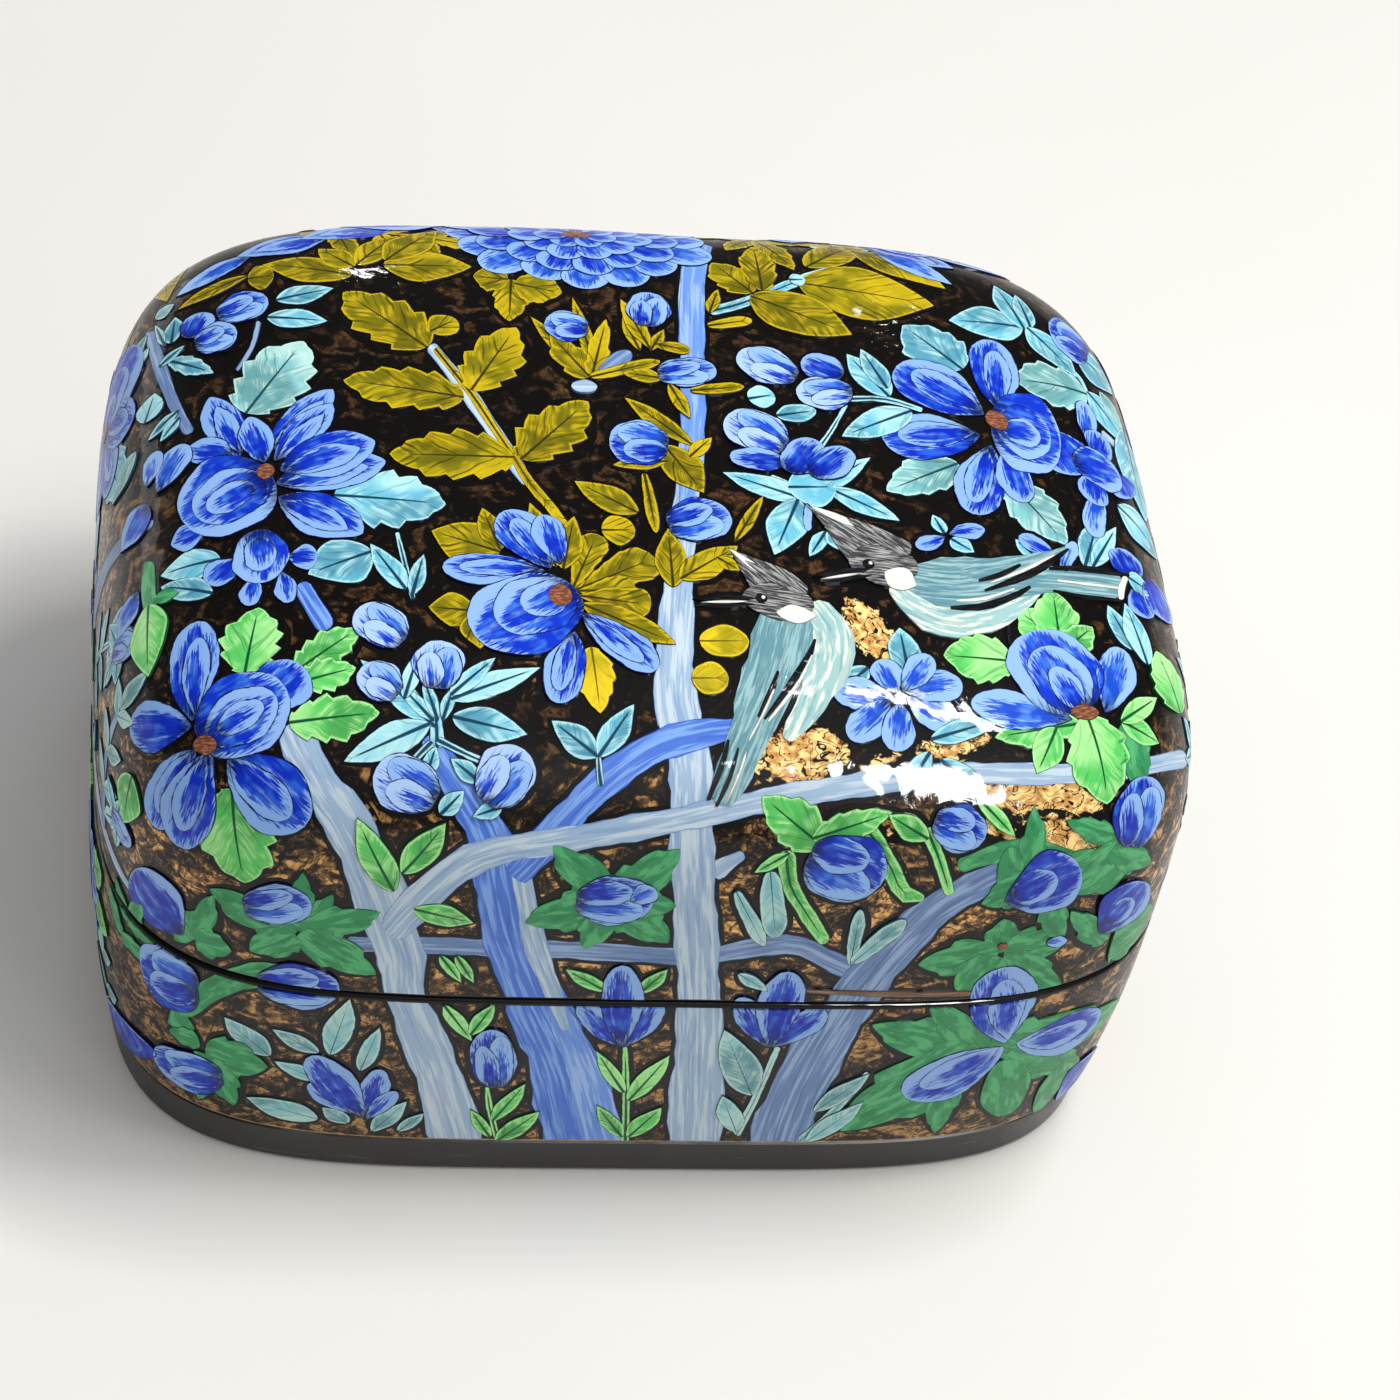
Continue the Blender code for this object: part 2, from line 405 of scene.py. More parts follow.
# A leaf: slanting brush lines from the rib to the edge, a paler edge, a dark rib and a dark outline
def makeLeafGroup(hairs, ink):
    tree, given, out = newGroup(
        "leafPaint",
        "vector: Stroke, Lay; value: Edge; colour: Base, Light, Dark; "
        "value: Vein Gap, Vein Depth, Rib Width, Ink Width",
        "colour: Colour; value: Height")
    across, along, offMiddle = unpacked(given["Lay"])
    shareAlong = unpacked(given["Stroke"])[1]
    side = calc("ABSOLUTE", offMiddle)
    drift = times(noise(packed(across, along), 0.28, 1.0), 2.4)
    slant = plus(minus(along, times(side, 1.5)), drift)
    fine = brushed(hairs, slant, side, *hairSizes["leafFine"])
    broad = brushed(hairs, plus(slant, 53.0), side, *hairSizes["leafBroad"])
    patch = noise(packed(across, along), 0.33, 1.0)
    tone = noise(packed(plus(across, 29.0), along), 0.06, 1.0)
    base = mixed(between(tone, 0.5, 0.6, 0.0, 0.6), given["Base"], given["Light"])
    base = mixed(between(tone, 0.4, 0.5, 0.42, 0.0), base, given["Dark"])
    turn = calc("DIVIDE", times(slant, 2 * math.pi), given["Vein Gap"])
    wave = calc("SINE", turn)
    wave = plus(wave, times(minus(broad, 0.5), 2.6))
    veins = times(between(wave, -0.2, 1.6), 0.7)
    lit = larger(veins, times(fine, 0.65))
    lit = times(lit, between(patch, 0.4, 0.62, 0.12, 1.0))
    depth = minus(given["Edge"], times(fine, 0.35))
    lit = larger(lit, between(depth, 0.1, 0.5, 0.75, 0.0))
    colour = mixed(lit, base, given["Light"])
    shade = times(fading(wave, -1.9, -1.2), given["Vein Depth"])
    colour = mixed(shade, colour, given["Dark"])
    wide = between(shareAlong, 0.0, 1.0, 1.0, 0.35)
    ribHalf = times(given["Rib Width"], wide)
    rib = fading(side, times(ribHalf, 0.5), ribHalf)
    rib = times(rib, fading(shareAlong, 0.78, 0.9))
    colour = mixed(rib, colour, given["Dark"])
    setSocket(out["Colour"], outlined(ink, given, across, along, colour, given["Dark"]))
    setSocket(out["Height"], plus(times(fine, 0.6), lit))
    return tree


# Bark and feathers: lengthwise streaks of three colours
def makeStreakGroup(hairs, ink):
    tree, given, out = newGroup(
        "streakPaint",
        "vector: Lay; value: Edge; colour: Base, Light, Dark; value: Fine, Long, Dark Share, Ink Width",
        "colour: Colour; value: Height")
    across, along = unpacked(given["Lay"])[:2]
    first = brushed(hairs, across, along, given["Fine"], given["Long"])
    shifted = plus(across, 37.0)
    second = brushed(hairs, shifted, along, given["Fine"], given["Long"])
    colour = mixed(between(first, 0.35, 0.85), given["Base"], given["Light"])
    dark = times(between(second, 0.62, 0.92), given["Dark Share"])
    colour = mixed(dark, colour, given["Dark"])
    setSocket(out["Colour"], outlined(ink, given, across, along, colour, given["Dark"]))
    setSocket(out["Height"], first)
    return tree


powder = {
    "smudge": 0.28,  # scales of the noises, larger for finer marks
    "cloud": 0.06,
    "wisps": (0.24, 0.46),
    "grain": 1.3,
    "breaks": 0.9,
    "cracks": 0.3,
    # where the painted shade beside the seam's gap ends
    "seamShadeEdge": (0.8 * mm, 1.15 * mm),  # the black beside the seam ends between these
    "footEdge": (0.85 * mm, 1.2 * mm),  # the gold line over the foot ends between these
    "shine": 0.85,
    "roughness": (0.5, 0.46),  # of the lacquer and of the powder
}


# The ground: dark lacquer with smudges and wisps of bronze powder, which shine only where light falls on
# them and lie denser lower down.
# It is darkened towards the seam and over the body's wall below it as painted shade, and black beside the
# seam as painted shade of its gap. A thin gold line runs round the foot.
def makeGroundGroup():
    tree, given, out = newGroup(
        "groundPaint",
        "vector: Place; colour: Dark, Brown, Bronze, Gold; value: Low, High, Seam, Foot",
        "colour: Colour; value: Metal, Rough, Height")
    toMillimetres = (1000.0, 1000.0, 1000.0)
    place = vectorCalc("MULTIPLY", given["Place"], toMillimetres)
    moved = vectorCalc("ADD", place, (41.0, 17.0, 5.0))
    height = unpacked(given["Place"])[2]
    lower = fading(height, given["Low"], given["High"])
    flat = vectorCalc("MULTIPLY", place, (0.9, 0.9, 1.2))
    smudge = noise(flat, powder["smudge"], 2.0, 0.5, 1.4)
    cloud = between(noise(place, powder["cloud"], 1.0), 0.35, 0.6)
    brown = between(smudge, 0.49, 0.68)
    brown = times(brown, between(cloud, 0.0, 1.0, 0.25, 0.85))
    broadSmudge = between(smudge, 0.46, 0.6)
    first = offCentre(noise(place, powder["wisps"][0], 2.0, 0.5, 1.6))
    second = offCentre(noise(moved, powder["wisps"][1], 2.0, 0.5, 1.1))
    wisp = fading(first, 0.0, 0.03)
    wisp = larger(wisp, between(second, 0.0, 0.035, 0.8, 0.0))
    grain = noise(place, powder["grain"], 2.0)
    wisp = times(wisp, between(grain, 0.36, 0.6, 0.1, 1.0))
    broken = between(noise(moved, powder["breaks"], 2.0, 0.6, 0.6), 0.4, 0.58, 0.15, 1.0)
    brown = times(brown, broken)
    upper = mixed(brown, given["Dark"], given["Brown"])
    upper = mixed(times(times(wisp, brown), 0.7), upper, given["Bronze"])
    shade = mixed(between(smudge, 0.38, 0.48, 0.0, 0.3), given["Dark"], given["Brown"])
    under = mixed(broadSmudge, shade, given["Bronze"])
    core = times(between(smudge, 0.54, 0.64), between(grain, 0.35, 0.55, 0.3, 1.0))
    under = mixed(core, under, given["Gold"])
    gilded = times(wisp, between(smudge, 0.42, 0.58, 0.25, 1.0))
    under = mixed(gilded, under, given["Gold"])
    third = offCentre(noise(moved, powder["cracks"], 2.0, 0.5, 1.8))
    crack = between(third, 0.02, 0.05, 0.85, 0.0)
    under = mixed(crack, under, given["Dark"])
    # painted shade: the ground darkens towards the seam and stays darker over the body's wall below it
    lowerWallShade = between(height, given["Seam"], given["Low"], 0.42, 0.0)
    under = mixed(lowerWallShade, under, given["Dark"])
    colour = mixed(lower, upper, under)
    # painted shade: a black band along the seam widens the dark line of its gap, and no powder shines there
    beside = fading(offCentre(height, given["Seam"]), *powder["seamShadeEdge"])
    colour = mixed(beside, colour, given["Dark"])
    footLine = fading(minus(height, given["Foot"]), *powder["footEdge"])
    setSocket(out["Colour"], mixed(times(footLine, grain), colour, given["Gold"]))
    metal = mixed(lower, brown, larger(broadSmudge, wisp))
    metal = times(metal, minus(1.0, times(crack, lower)))
    metal = times(metal, minus(1.0, beside))
    setSocket(out["Metal"], times(metal, powder["shine"]))
    setSocket(out["Rough"], between(metal, 0.0, 1.0, *powder["roughness"]))
    setSocket(out["Height"], plus(wisp, brown))
    return tree


hairGroup = makeHairGroup()
inkGroup = makeInkGroup()
petalGroup = makePetalGroup(hairGroup, inkGroup)
leafGroup = makeLeafGroup(hairGroup, inkGroup)
streakGroup = makeStreakGroup(hairGroup, inkGroup)
groundGroup = makeGroundGroup()

lacquer = {
    "roughness": 0.5,
    "sheen": 0.05,  # how far the paint itself shines under the coat
    "coat": 0.42,
    "coatRoughness": 0.035,
    "relief": 0.03 * mm,
    "brushMarks": 0.25,  # how strongly they stand up in the paint
    "marksInCoat": 0.06,
    "nibs": 0.4,  # how strongly dust and scratches stand up where nothing is painted
    "waves": 5.0,  # how unevenly the coat lies
    "waveScale": 230.0,
}


# A new material and its shader, under a coat of lacquer or bare
def newMaterial(name, coated=True):
    material = bpy.data.materials.new(name)
    material.use_nodes = True
    shader = material.node_tree.nodes["Principled BSDF"]
    shader.inputs["Roughness"].default_value = lacquer["roughness"]
    if coated:
        shader.inputs["Specular IOR Level"].default_value = lacquer["sheen"]
        shader.inputs["Coat Weight"].default_value = lacquer["coat"]
        shader.inputs["Coat Roughness"].default_value = lacquer["coatRoughness"]
    return material, shader


# What each stroke says of itself: shares of its width and length, millimetres across and along it,
# and millimetres from its edge
def strokeInputs(tree):
    found = []
    for label in ("stroke", "lay"):
        node = tree.nodes.new("ShaderNodeUVMap")
        node.uv_map = label
        found.append(node.outputs[0])
    for label in ("edge", "side"):
        node = tree.nodes.new("ShaderNodeAttribute")
        node.attribute_name = label
        found.append(node.outputs["Fac"])
    shares, lay, edge, side = found
    across, along = unpacked(lay)[:2]
    return {"Stroke": shares, "Lay": packed(across, along, side), "Edge": edge}


def objectPlace(shader):
    return shader.id_data.nodes.new("ShaderNodeTexCoord").outputs["Object"]


# The paint follows its brush marks, and the lacquer over it is wavy as a hand-laid coat is
def relief(shader, height, strength=lacquer["brushMarks"]):
    broad = times(noise(objectPlace(shader), lacquer["waveScale"], 1.0), lacquer["waves"])
    wave = plus(broad, times(height, lacquer["marksInCoat"]))
    for label, rising, share in (("Normal", height, strength), ("Coat Normal", wave, 1.0)):
        node = shader.id_data.nodes.new("ShaderNodeBump")
        node.inputs["Strength"].default_value = share
        node.inputs["Distance"].default_value = lacquer["relief"]
        setSocket(node.inputs["Height"], rising)
        setSocket(shader.inputs[label], node.outputs[0])


# Paint laid with one of the groups above, whose own sockets take the given values in order
def brushedMaterial(name, group, *values):
    material, shader = newMaterial(name)
    found = strokeInputs(material.node_tree)
    node = groupNode(material.node_tree, group)
    own = iter(values)
    for socket in node.inputs:
        setSocket(socket, found[socket.name] if socket.name in found else next(own))
    setSocket(shader.inputs["Base Color"], node.outputs["Colour"])
    relief(shader, node.outputs["Height"])
    return material


# Gold powder laid thickly, broken by dark cracks and thinner towards its edge. Its gold and pale are
# painted as bright as gold lit by the lamp: partly the powder's own colour, partly a painted highlight
def goldHighlightMaterial(name, dark, gold, pale):
    material, shader = newMaterial(name)
    found = strokeInputs(material.node_tree)
    mottle = noise(found["Lay"], 0.42, 2.0, 0.5, 1.2)
    crack = between(offCentre(mottle), 0.01, 0.045)
    thick = noise(found["Lay"], 0.7, 2.0)
    inner = times(between(found["Edge"], 0.1, 1.8), 0.34)
    share = times(crack, between(plus(thick, inner), 0.6, 0.72))
    colour = mixed(between(thick, 0.42, 0.6), tint(*gold), tint(*pale))
    setSocket(shader.inputs["Base Color"], mixed(share, tint(*dark), colour))
    relief(shader, share)
    return material


def groundMaterial(name):
    material, shader = newMaterial(name)
    place = objectPlace(shader)
    seam = form["seam"]
    colours = {label.title(): tint(*ground[label]) for label in ("dark", "brown", "bronze", "gold")}
    made = useGroup(
        material.node_tree, groundGroup, Place=place, Low=seam + ground["low"], High=seam + ground["high"],
        Seam=seam, Foot=boardHigh.z, **colours)
    setSocket(shader.inputs["Base Color"], made["Colour"])
    setSocket(shader.inputs["Metallic"], made["Metal"])
    setSocket(shader.inputs["Roughness"], made["Rough"])
    relief(shader, made["Height"])
    return material


# Plain lacquer inside the box, faintly cloudy and with dust nibs
def insideMaterial(name, dark, light):
    material, shader = newMaterial(name)
    place = objectPlace(shader)
    cloudy = between(noise(place, 90.0, 4.0, 0.6), 0.35, 0.7)
    setSocket(shader.inputs["Base Color"], mixed(cloudy, tint(*dark), tint(*light)))
    relief(shader, noise(place, 700.0, 3.0), lacquer["nibs"])
    return material


# The foot: charcoal paint with fine pale scratches
def footMaterial(name, dark, light, scratch):
    material, shader = newMaterial(name, False)
    place = objectPlace(shader)
    cloudy = between(noise(place, 120.0, 3.0), 0.35, 0.7)
    colour = mixed(cloudy, tint(*dark), tint(*light))
    stretched = vectorCalc("MULTIPLY", place, (60.0, 60.0, 900.0))
    lines = between(noise(stretched, 1.0, 4.0, 0.7), 0.64, 0.72)
    colour = mixed(times(lines, 0.5), colour, tint(*scratch))
    setSocket(shader.inputs["Base Color"], colour)
    setSocket(shader.inputs["Roughness"], between(cloudy, 0.0, 1.0, 0.3, 0.45))
    relief(shader, lines, lacquer["nibs"])
    return material


# Each paint: the name of its material, its colours, and then its measures in millimetres or as shares
petalPaints = {
    # heart, middle, rim, root and outline; width of the rim, width of the outline
    "royal": ("royal_petal", (4, 42, 184), (40, 98, 212), (134, 174, 230), (6, 12, 62),
              (6, 12, 62), 1.35, 0.2),
    "cup": ("cup_petal", (6, 50, 192), (58, 116, 218), (142, 180, 232), (6, 12, 62), (6, 12, 62), 1.6, 0.2),
    "bud": ("bud_petal", (4, 38, 170), (44, 98, 208), (138, 176, 228), (6, 12, 60), (6, 12, 62), 1.35, 0.2),
    "paleBud": ("pale_bud", (12, 56, 194), (104, 150, 226), (170, 200, 238), (6, 12, 62),
              (6, 12, 62), 2.1, 0.2),
    "soft": ("soft_petal", (20, 74, 196), (76, 130, 220), (144, 184, 234), (6, 12, 62),
              (6, 12, 62), 1.6, 0.2),
    "lily": ("lily_petal", (8, 40, 172), (50, 102, 210), (140, 176, 228), (150, 184, 230),
              (6, 12, 62), 1.9, 0.2),
}
leafPaints = {
    # body, lights and darks; gap between veins, their depth, width of the rib, width of the outline
    "ochre": ("ochre_leaf", (118, 114, 8), (216, 186, 20), (58, 50, 4), 1.9, 0.75, 0.28, 0.12),
    "yellow": ("yellow_leaf", (160, 148, 14), (238, 206, 34), (104, 90, 10), 2.6, 0.3, 0.2, 0.12),
    "turquoise": ("turquoise_leaf", (98, 184, 208), (188, 234, 234), (14, 62, 88), 2.6, 0.3, 0.36, 0.12),
    "mint": ("mint_leaf", (122, 190, 192), (200, 234, 222), (22, 74, 84), 2.2, 0.4, 0.32, 0.12),
    "bright": ("bright_leaf", (82, 196, 92), (184, 244, 160), (12, 84, 42), 2.2, 0.4, 0.3, 0.12),
    "blade": ("teal_blade", (124, 188, 194), (194, 226, 214), (28, 70, 84), 2.8, 0.2, 0.1, 0.12),
}
streakPaints = {
    # body, lights and darks; fineness of the streaks, their length, share of darks, width of the outline
    "green": ("green_calyx", (52, 142, 88), (84, 174, 112), (24, 92, 56), 1.4, 5.0, 0.35, 0.1),
    "paleBark": ("pale_bark", (156, 182, 206), (194, 210, 220), (108, 140, 188), 0.7, 14.0, 0.4, 0.12),
    "skyBark": ("sky_bark", (108, 150, 222), (152, 184, 232), (76, 116, 200), 0.7, 14.0, 0.35, 0.12),
    "blueBark": ("blue_bark", (76, 118, 208), (126, 166, 230), (46, 80, 176), 0.7, 14.0, 0.4, 0.12),
    "greyBark": ("grey_bark", (106, 134, 178), (148, 174, 208), (64, 88, 132), 0.7, 14.0, 0.4, 0.12),
    "rust": ("rust_centre", (112, 66, 48), (164, 104, 72), (64, 34, 28), 0.3, 1.0, 0.5, 0.12),
    "plume": ("bird_plume", (100, 146, 156), (152, 188, 190), (56, 94, 108), 0.5, 7.0, 0.35, 0.0),
    "cream": ("bird_cream", (156, 194, 192), (222, 232, 214), (108, 152, 160), 0.8, 6.0, 0.5, 0.0),
    "soot": ("bird_soot", (66, 68, 70), (168, 168, 164), (12, 12, 14), 0.26, 3.5, 0.6, 0.05),
    "ink": ("bird_ink", (10, 11, 13), (30, 32, 34), (5, 5, 6), 0.3, 3.0, 0.4, 0.0),
    "white": ("bird_white", (228, 228, 216), (246, 246, 240), (160, 160, 150), 0.3, 2.0, 0.2, 0.12),
    "worn": ("worn_pulp", (112, 84, 62), (150, 118, 92), (60, 42, 30), 0.3, 6.0, 0.4, 0.1),
    "halo": ("black_outline", (8, 6, 5), (16, 12, 9), (4, 3, 3), 0.6, 3.0, 0.5, 0.0),
}
paints = {}
for group, listed in ((petalGroup, petalPaints), (leafGroup, leafPaints), (streakGroup, streakPaints)):
    for label, (name, *values) in listed.items():
        values = [tint(*value) if isinstance(value, tuple) else value for value in values]
        paints[label] = brushedMaterial(name, group, *values)
# the dabs' colours: gold powder painted as bright as where the lamp lights it, a painted highlight
gilt = {"dark": (9, 7, 5), "gold": (206, 150, 80), "pale": (255, 218, 142)}
paints["gilt"] = goldHighlightMaterial("gold_powder_and_painted_highlight", **gilt)
ground = {
    "dark": (9, 7, 5),
    "brown": (104, 72, 44),
    "bronze": (146, 104, 60),
    "gold": (230, 178, 108),
    "low": 16 * mm,  # over the seam: all bronze below this, and sparse above the next
    "high": 42 * mm,
}
plain = {
    "inside": ((14, 12, 11), (22, 18, 16)),
    "collar": ((12, 11, 10), (24, 20, 17)),
    "foot": ((22, 20, 20), (40, 38, 38), (120, 116, 110)),  # the last is the scratches
}
groundPaint = groundMaterial("lacquer_ground")
insideBlack = insideMaterial("inside_lacquer", *plain["inside"])
collarBlack = insideMaterial("collar_lacquer", *plain["collar"])
footBlack = footMaterial("foot_paint", *plain["foot"])
print("materials made:", len(bpy.data.materials))


# The moulded shells, turned as a profile and then moved from a circle to the squared outline
shells = {
    "sharpFrom": 40,  # degrees between faces
    "rimGap": 0.2 * mm,  # from the seam to either rim
    "rimRound": 0.7 * mm,
    "footRound": 0.8 * mm,
    "skinDepth": 2.0 * mm,  # how deep the painted skin goes
    "lapDepth": 1.95 * mm,  # where the lining starts, a hair inside the skin
    "lidWall": 3.2 * mm,
    "bodyWall": 3.6 * mm,
    "crownThickness": 3.4 * mm,
    "floorThickness": 3.0 * mm,
    "floorCove": 6.0 * mm,
    "bodyHeight": 34.0 * mm,
    "collarInset": 3.95 * mm,
    "collarWall": 1.6 * mm,
    "collarAbove": 6.0 * mm,
    "collarBelow": 8.0 * mm,
    "collarRound": 0.5 * mm,
    "boardInset": 0.4 * mm,
    "boardTuck": 0.6 * mm,
    "boardRound": 1.0 * mm,
    "boardEdge": 0.3 * mm,  # the small bevel at its top
    "hairline": 0.05 * mm,  # between the skin and the lining at either rim
    "lap": 1.4 * mm,  # how far the lining reaches into the floor
}


def tuckShare(depth):
    return (1 - (max(depth, 0) / form["tuckReach"]) ** form["tuckPower"]) ** (1 / form["tuckPower"])


# Rows of a profile: share of the half size, height over the seam, how far the half sizes are drawn in
def domeRows(rise, inset, rows=56, wallRows=10):
    lowest = 10.0  # degrees over the seam, below which rows of even height follow
    made = [(0.0, rise, inset)]
    for row in range(1, rows + 1):
        turn = math.radians(90 - (90 - lowest) * row / rows)
        power = 2 / form["crownPower"]
        made.append((math.cos(turn) ** power, rise * math.sin(turn) ** power, inset))
    lastHeight = made[-1][1]
    for row in range(1, wallRows):
        height = lastHeight * (1 - row / wallRows)
        share = (1 - (height / rise) ** form["crownPower"]) ** (1 / form["crownPower"])
        made.append((share, height, inset))
    return made


def roundRows(share, height, radius, start, end, inset, rows=5):
    made = []
    for row in range(rows + 1):
        turn = math.radians(start + (end - start) * row / rows)
        outward = radius * math.cos(turn) / (form["halfLength"] - inset)
        made.append((share + outward, height + radius * math.sin(turn), inset))
    return made


def wallRows(top, bottom, inset, rows=16):
    depths = [top + (bottom - top) * row / rows for row in range(rows + 1)]
    return [(tuckShare(depth), -depth, inset) for depth in depths]


def turnShell(name, profile, closed, material, body, node):
    bm = bmesh.new()
    insetLayer = bm.verts.layers.float.new("inset")
    verts = []
    for share, height, inset in profile:
        vert = bm.verts.new((share, 0.0, form["seam"] + height))
        vert[insetLayer] = inset
        verts.append(vert)
    pairs = list(zip(verts, verts[1:]))
    if closed:
        pairs.append((verts[-1], verts[0]))
    edges = [bm.edges.new(pair) for pair in pairs]
    bmesh.ops.spin(
        bm, geom=verts + edges, cent=(0, 0, 0), axis=(0, 0, 1), dvec=(0, 0, 0),
        angle=2 * math.pi, steps=form["segments"], use_merge=True, use_duplicate=False)
    bmesh.ops.remove_doubles(bm, verts=bm.verts, dist=0.001 * mm)
    for vert in bm.verts:
        length = form["halfLength"] - vert[insetLayer]
        width = form["halfWidth"] - vert[insetLayer]
        share = math.hypot(vert.co.x, vert.co.y)
        even = math.atan2(vert.co.y, vert.co.x)
        crowd = form["cornerCrowding"]
        across = length * math.copysign(abs(math.cos(even)) ** crowd, math.cos(even))
        deep = width * math.copysign(abs(math.sin(even)) ** crowd, math.sin(even))
        angle = math.atan2(deep, across)
        plan = form["planPower"]
        terms = abs(math.cos(angle) / length) ** plan + abs(math.sin(angle) / width) ** plan
        reach = terms ** (-1 / plan)
        vert.co.x = share * reach * math.cos(angle)
        vert.co.y = share * reach * math.sin(angle)
    bmesh.ops.recalc_face_normals(bm, faces=bm.faces)
    mesh = bpy.data.meshes.new(name)
    bm.to_mesh(mesh)
    bm.free()
    mesh.shade_smooth()
    mesh.set_sharp_from_angle(angle=math.radians(shells["sharpFrom"]))
    mesh.materials.append(material)
    piece = bpy.data.objects.new(name, mesh)
    bpy.context.scene.collection.objects.link(piece)
    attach(piece, body)
    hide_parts(node)


def makeShells():
    s = shells
    rim = s["rimGap"]
    rise = form["rise"]
    edge = s["rimRound"]
    roundShare = 1 - edge / form["halfLength"]
    skin = domeRows(rise, 0.0)
    skin += roundRows(roundShare, rim + edge, edge, 0, -90, 0.0)
    skin += [(1.0, rim, s["skinDepth"])]
    skin += list(reversed(domeRows(rise - s["skinDepth"], s["skinDepth"], 14, 3)))
    turnShell("lid_skin", skin, False, groundPaint, "box_lid", "lid_shell")
    lining = domeRows(rise - s["lapDepth"], s["lapDepth"], 14, 3)
    lip = rim + s["hairline"]
    lining += [(1.0, lip, s["lapDepth"]), (1.0, lip, s["lidWall"])]
    lining += list(reversed(domeRows(rise - s["crownThickness"], s["lidWall"], 26, 6)))
    turnShell("lid_lining", lining, False, insideBlack, "box_lid", "lid_shell")

    lower = s["bodyHeight"] - s["footRound"]
    footShare = tuckShare(lower) - s["footRound"] / form["halfLength"]
    skin = [(1.0, -rim, s["skinDepth"])]
    skin += roundRows(roundShare, -rim - edge, edge, 90, 0, 0.0)
    skin += wallRows(rim + edge, lower, 0.0, 20)[1:]
    skin += roundRows(footShare, -lower, s["footRound"], 0, -90, 0.0)[1:]
    skin += [(0.0, -s["bodyHeight"], 0.0)]
    depth = s["bodyHeight"] - 1.5 * mm
    skin += [(0.0, -depth, s["skinDepth"]), (tuckShare(depth) * 0.97, -depth, s["skinDepth"])]
    skin += list(reversed(wallRows(rim * 2, depth - 3 * mm, s["skinDepth"], 8)))
    turnShell("body_skin", skin, True, groundPaint, "box_base", "body_shell")

    floor = s["bodyHeight"] - s["floorThickness"]
    cove = s["floorCove"]
    length = form["halfLength"] - s["bodyWall"]
    coveShare = tuckShare(floor - cove) - cove / length
    lining = [(0.0, -floor, s["bodyWall"])]
    lining += list(reversed(roundRows(coveShare, -(floor - cove), cove, 0, -90, s["bodyWall"], 10)))
    lining += list(reversed(wallRows(rim, floor - cove, s["bodyWall"], 12)))[1:]
    lining += [(1.0, -lip, s["lapDepth"])]
    lining += wallRows(rim * 2, floor - cove, s["lapDepth"], 8)
    under = -floor - s["lap"]
    lining += [(coveShare, under, s["lapDepth"]), (0.0, under, s["lapDepth"])]
    turnShell("body_lining", lining, False, insideBlack, "box_base", "body_shell")

    inset = s["collarInset"]
    inner = inset + s["collarWall"]
    radius = s["collarRound"]
    outerShare = 1 - radius / (form["halfLength"] - inset)
    innerShare = 1 + radius / (form["halfLength"] - inner)
    strip = roundRows(innerShare, s["collarAbove"] - radius, radius, 180, 90, inner, 4)
    strip += roundRows(outerShare, s["collarAbove"] - radius, radius, 90, 0, inset, 4)
    strip += [(1.0, -s["collarBelow"], inset), (1.0, -s["collarBelow"], inner)]
    turnShell("collar_strip", strip, True, collarBlack, "box_base", "locating_collar")

    share = tuckShare(lower)
    inset = s["boardInset"] / share
    top = boardHigh.z - form["seam"]
    foot = -form["seam"]
    lean = share * (1 - s["boardTuck"] / boardHigh.x)
    leanShare = lean - s["boardRound"] / form["halfLength"]
    bevel = s["boardEdge"]
    board = [(0.0, top, inset), (share - bevel / form["halfLength"], top, inset)]
    board += [(share, top - bevel, inset), (lean, foot + s["boardRound"], inset)]
    board += roundRows(leanShare, foot + s["boardRound"], s["boardRound"], 0, -90, inset)[1:]
    board += [(0.0, foot, inset)]
    turnShell("foot_board", board, False, footBlack, "box_base", "bottom_board")
    print("shells turned")


# Painted strokes. A shape gives how a stroke widens and narrows along its length.
shapes = {
    "petal": {"peak": 0.62, "base": 0.8, "tip": 0.45},
    "pointed": {"peak": 0.56, "base": 0.75, "tip": 0.68},
    "cup": {"peak": 0.52, "base": 0.42, "tip": 0.42},
    "oval": {"peak": 0.5, "base": 0.5, "tip": 0.5},
    "leaf": {"peak": 0.42, "base": 0.6, "tip": 0.95},
    "broad": {"peak": 0.46, "base": 0.5, "tip": 0.8, "teeth": 4.3, "bite": 0.2},
    "ragged": {"peak": 0.48, "base": 0.45, "tip": 0.75, "teeth": 4.6, "bite": 0.3},
    "calyx": {"peak": 0.38, "base": 0.3, "tip": 0.8, "teeth": 2.4, "bite": 0.26},
    "blade": {"peak": 0.45, "base": 0.8, "tip": 0.85},
    "finger": {"peak": 0.7, "base": 0.3, "tip": 0.5},
    "fan": {"peak": 0.82, "base": 1.1, "tip": 0.4, "teeth": 5.2, "bite": 0.1},
    "spike": {"peak": 0.12, "base": 0.5, "tip": 1.3},
}
stroke = {
    "grid": (6, 24),  # columns and rows of a stroke
    "shortGrid": (4, 14),  # of one that is no longer than the next value
    "short": 8 * mm,
    "haloGrid": (4, 8),  # of the black round a stroke
    "stepOnSide": 2.0,  # between the rows of a branch, in millimetres
    "stepInPicture": 14.0,  # the same in points of the picture
    "longOnSide": 8.5,  # a petal longer than this, in millimetres, has a smaller one inside
    "longInPicture": 66,  # the same in points of the picture
    "lift": 0.03 * mm,  # one layer of paint
    "step": 0.009 * mm,  # each stroke of a piece lies this much over the one before
    "thickness": 0.4 * mm,  # sunk into the skin below
    "seamMargin": 0.95 * mm,  # how far the paint stops from the seam
    "footMargin": 0.8 * mm,
    "waver": 0.05,  # how uneven a painted edge is, as a share of its width
    "branchWaver": (0.07, 0.05),
    "surround": 0.85 * mm,  # width of the black left round each motif
    "surroundEnds": (0.7, 1.5),  # shares of that width at the base, and at both ends together
    "surroundBranch": 0.8,  # share of it beside a branch
    "surroundLift": 0.02 * mm,
    "surroundStep": 0.0004 * mm,
}


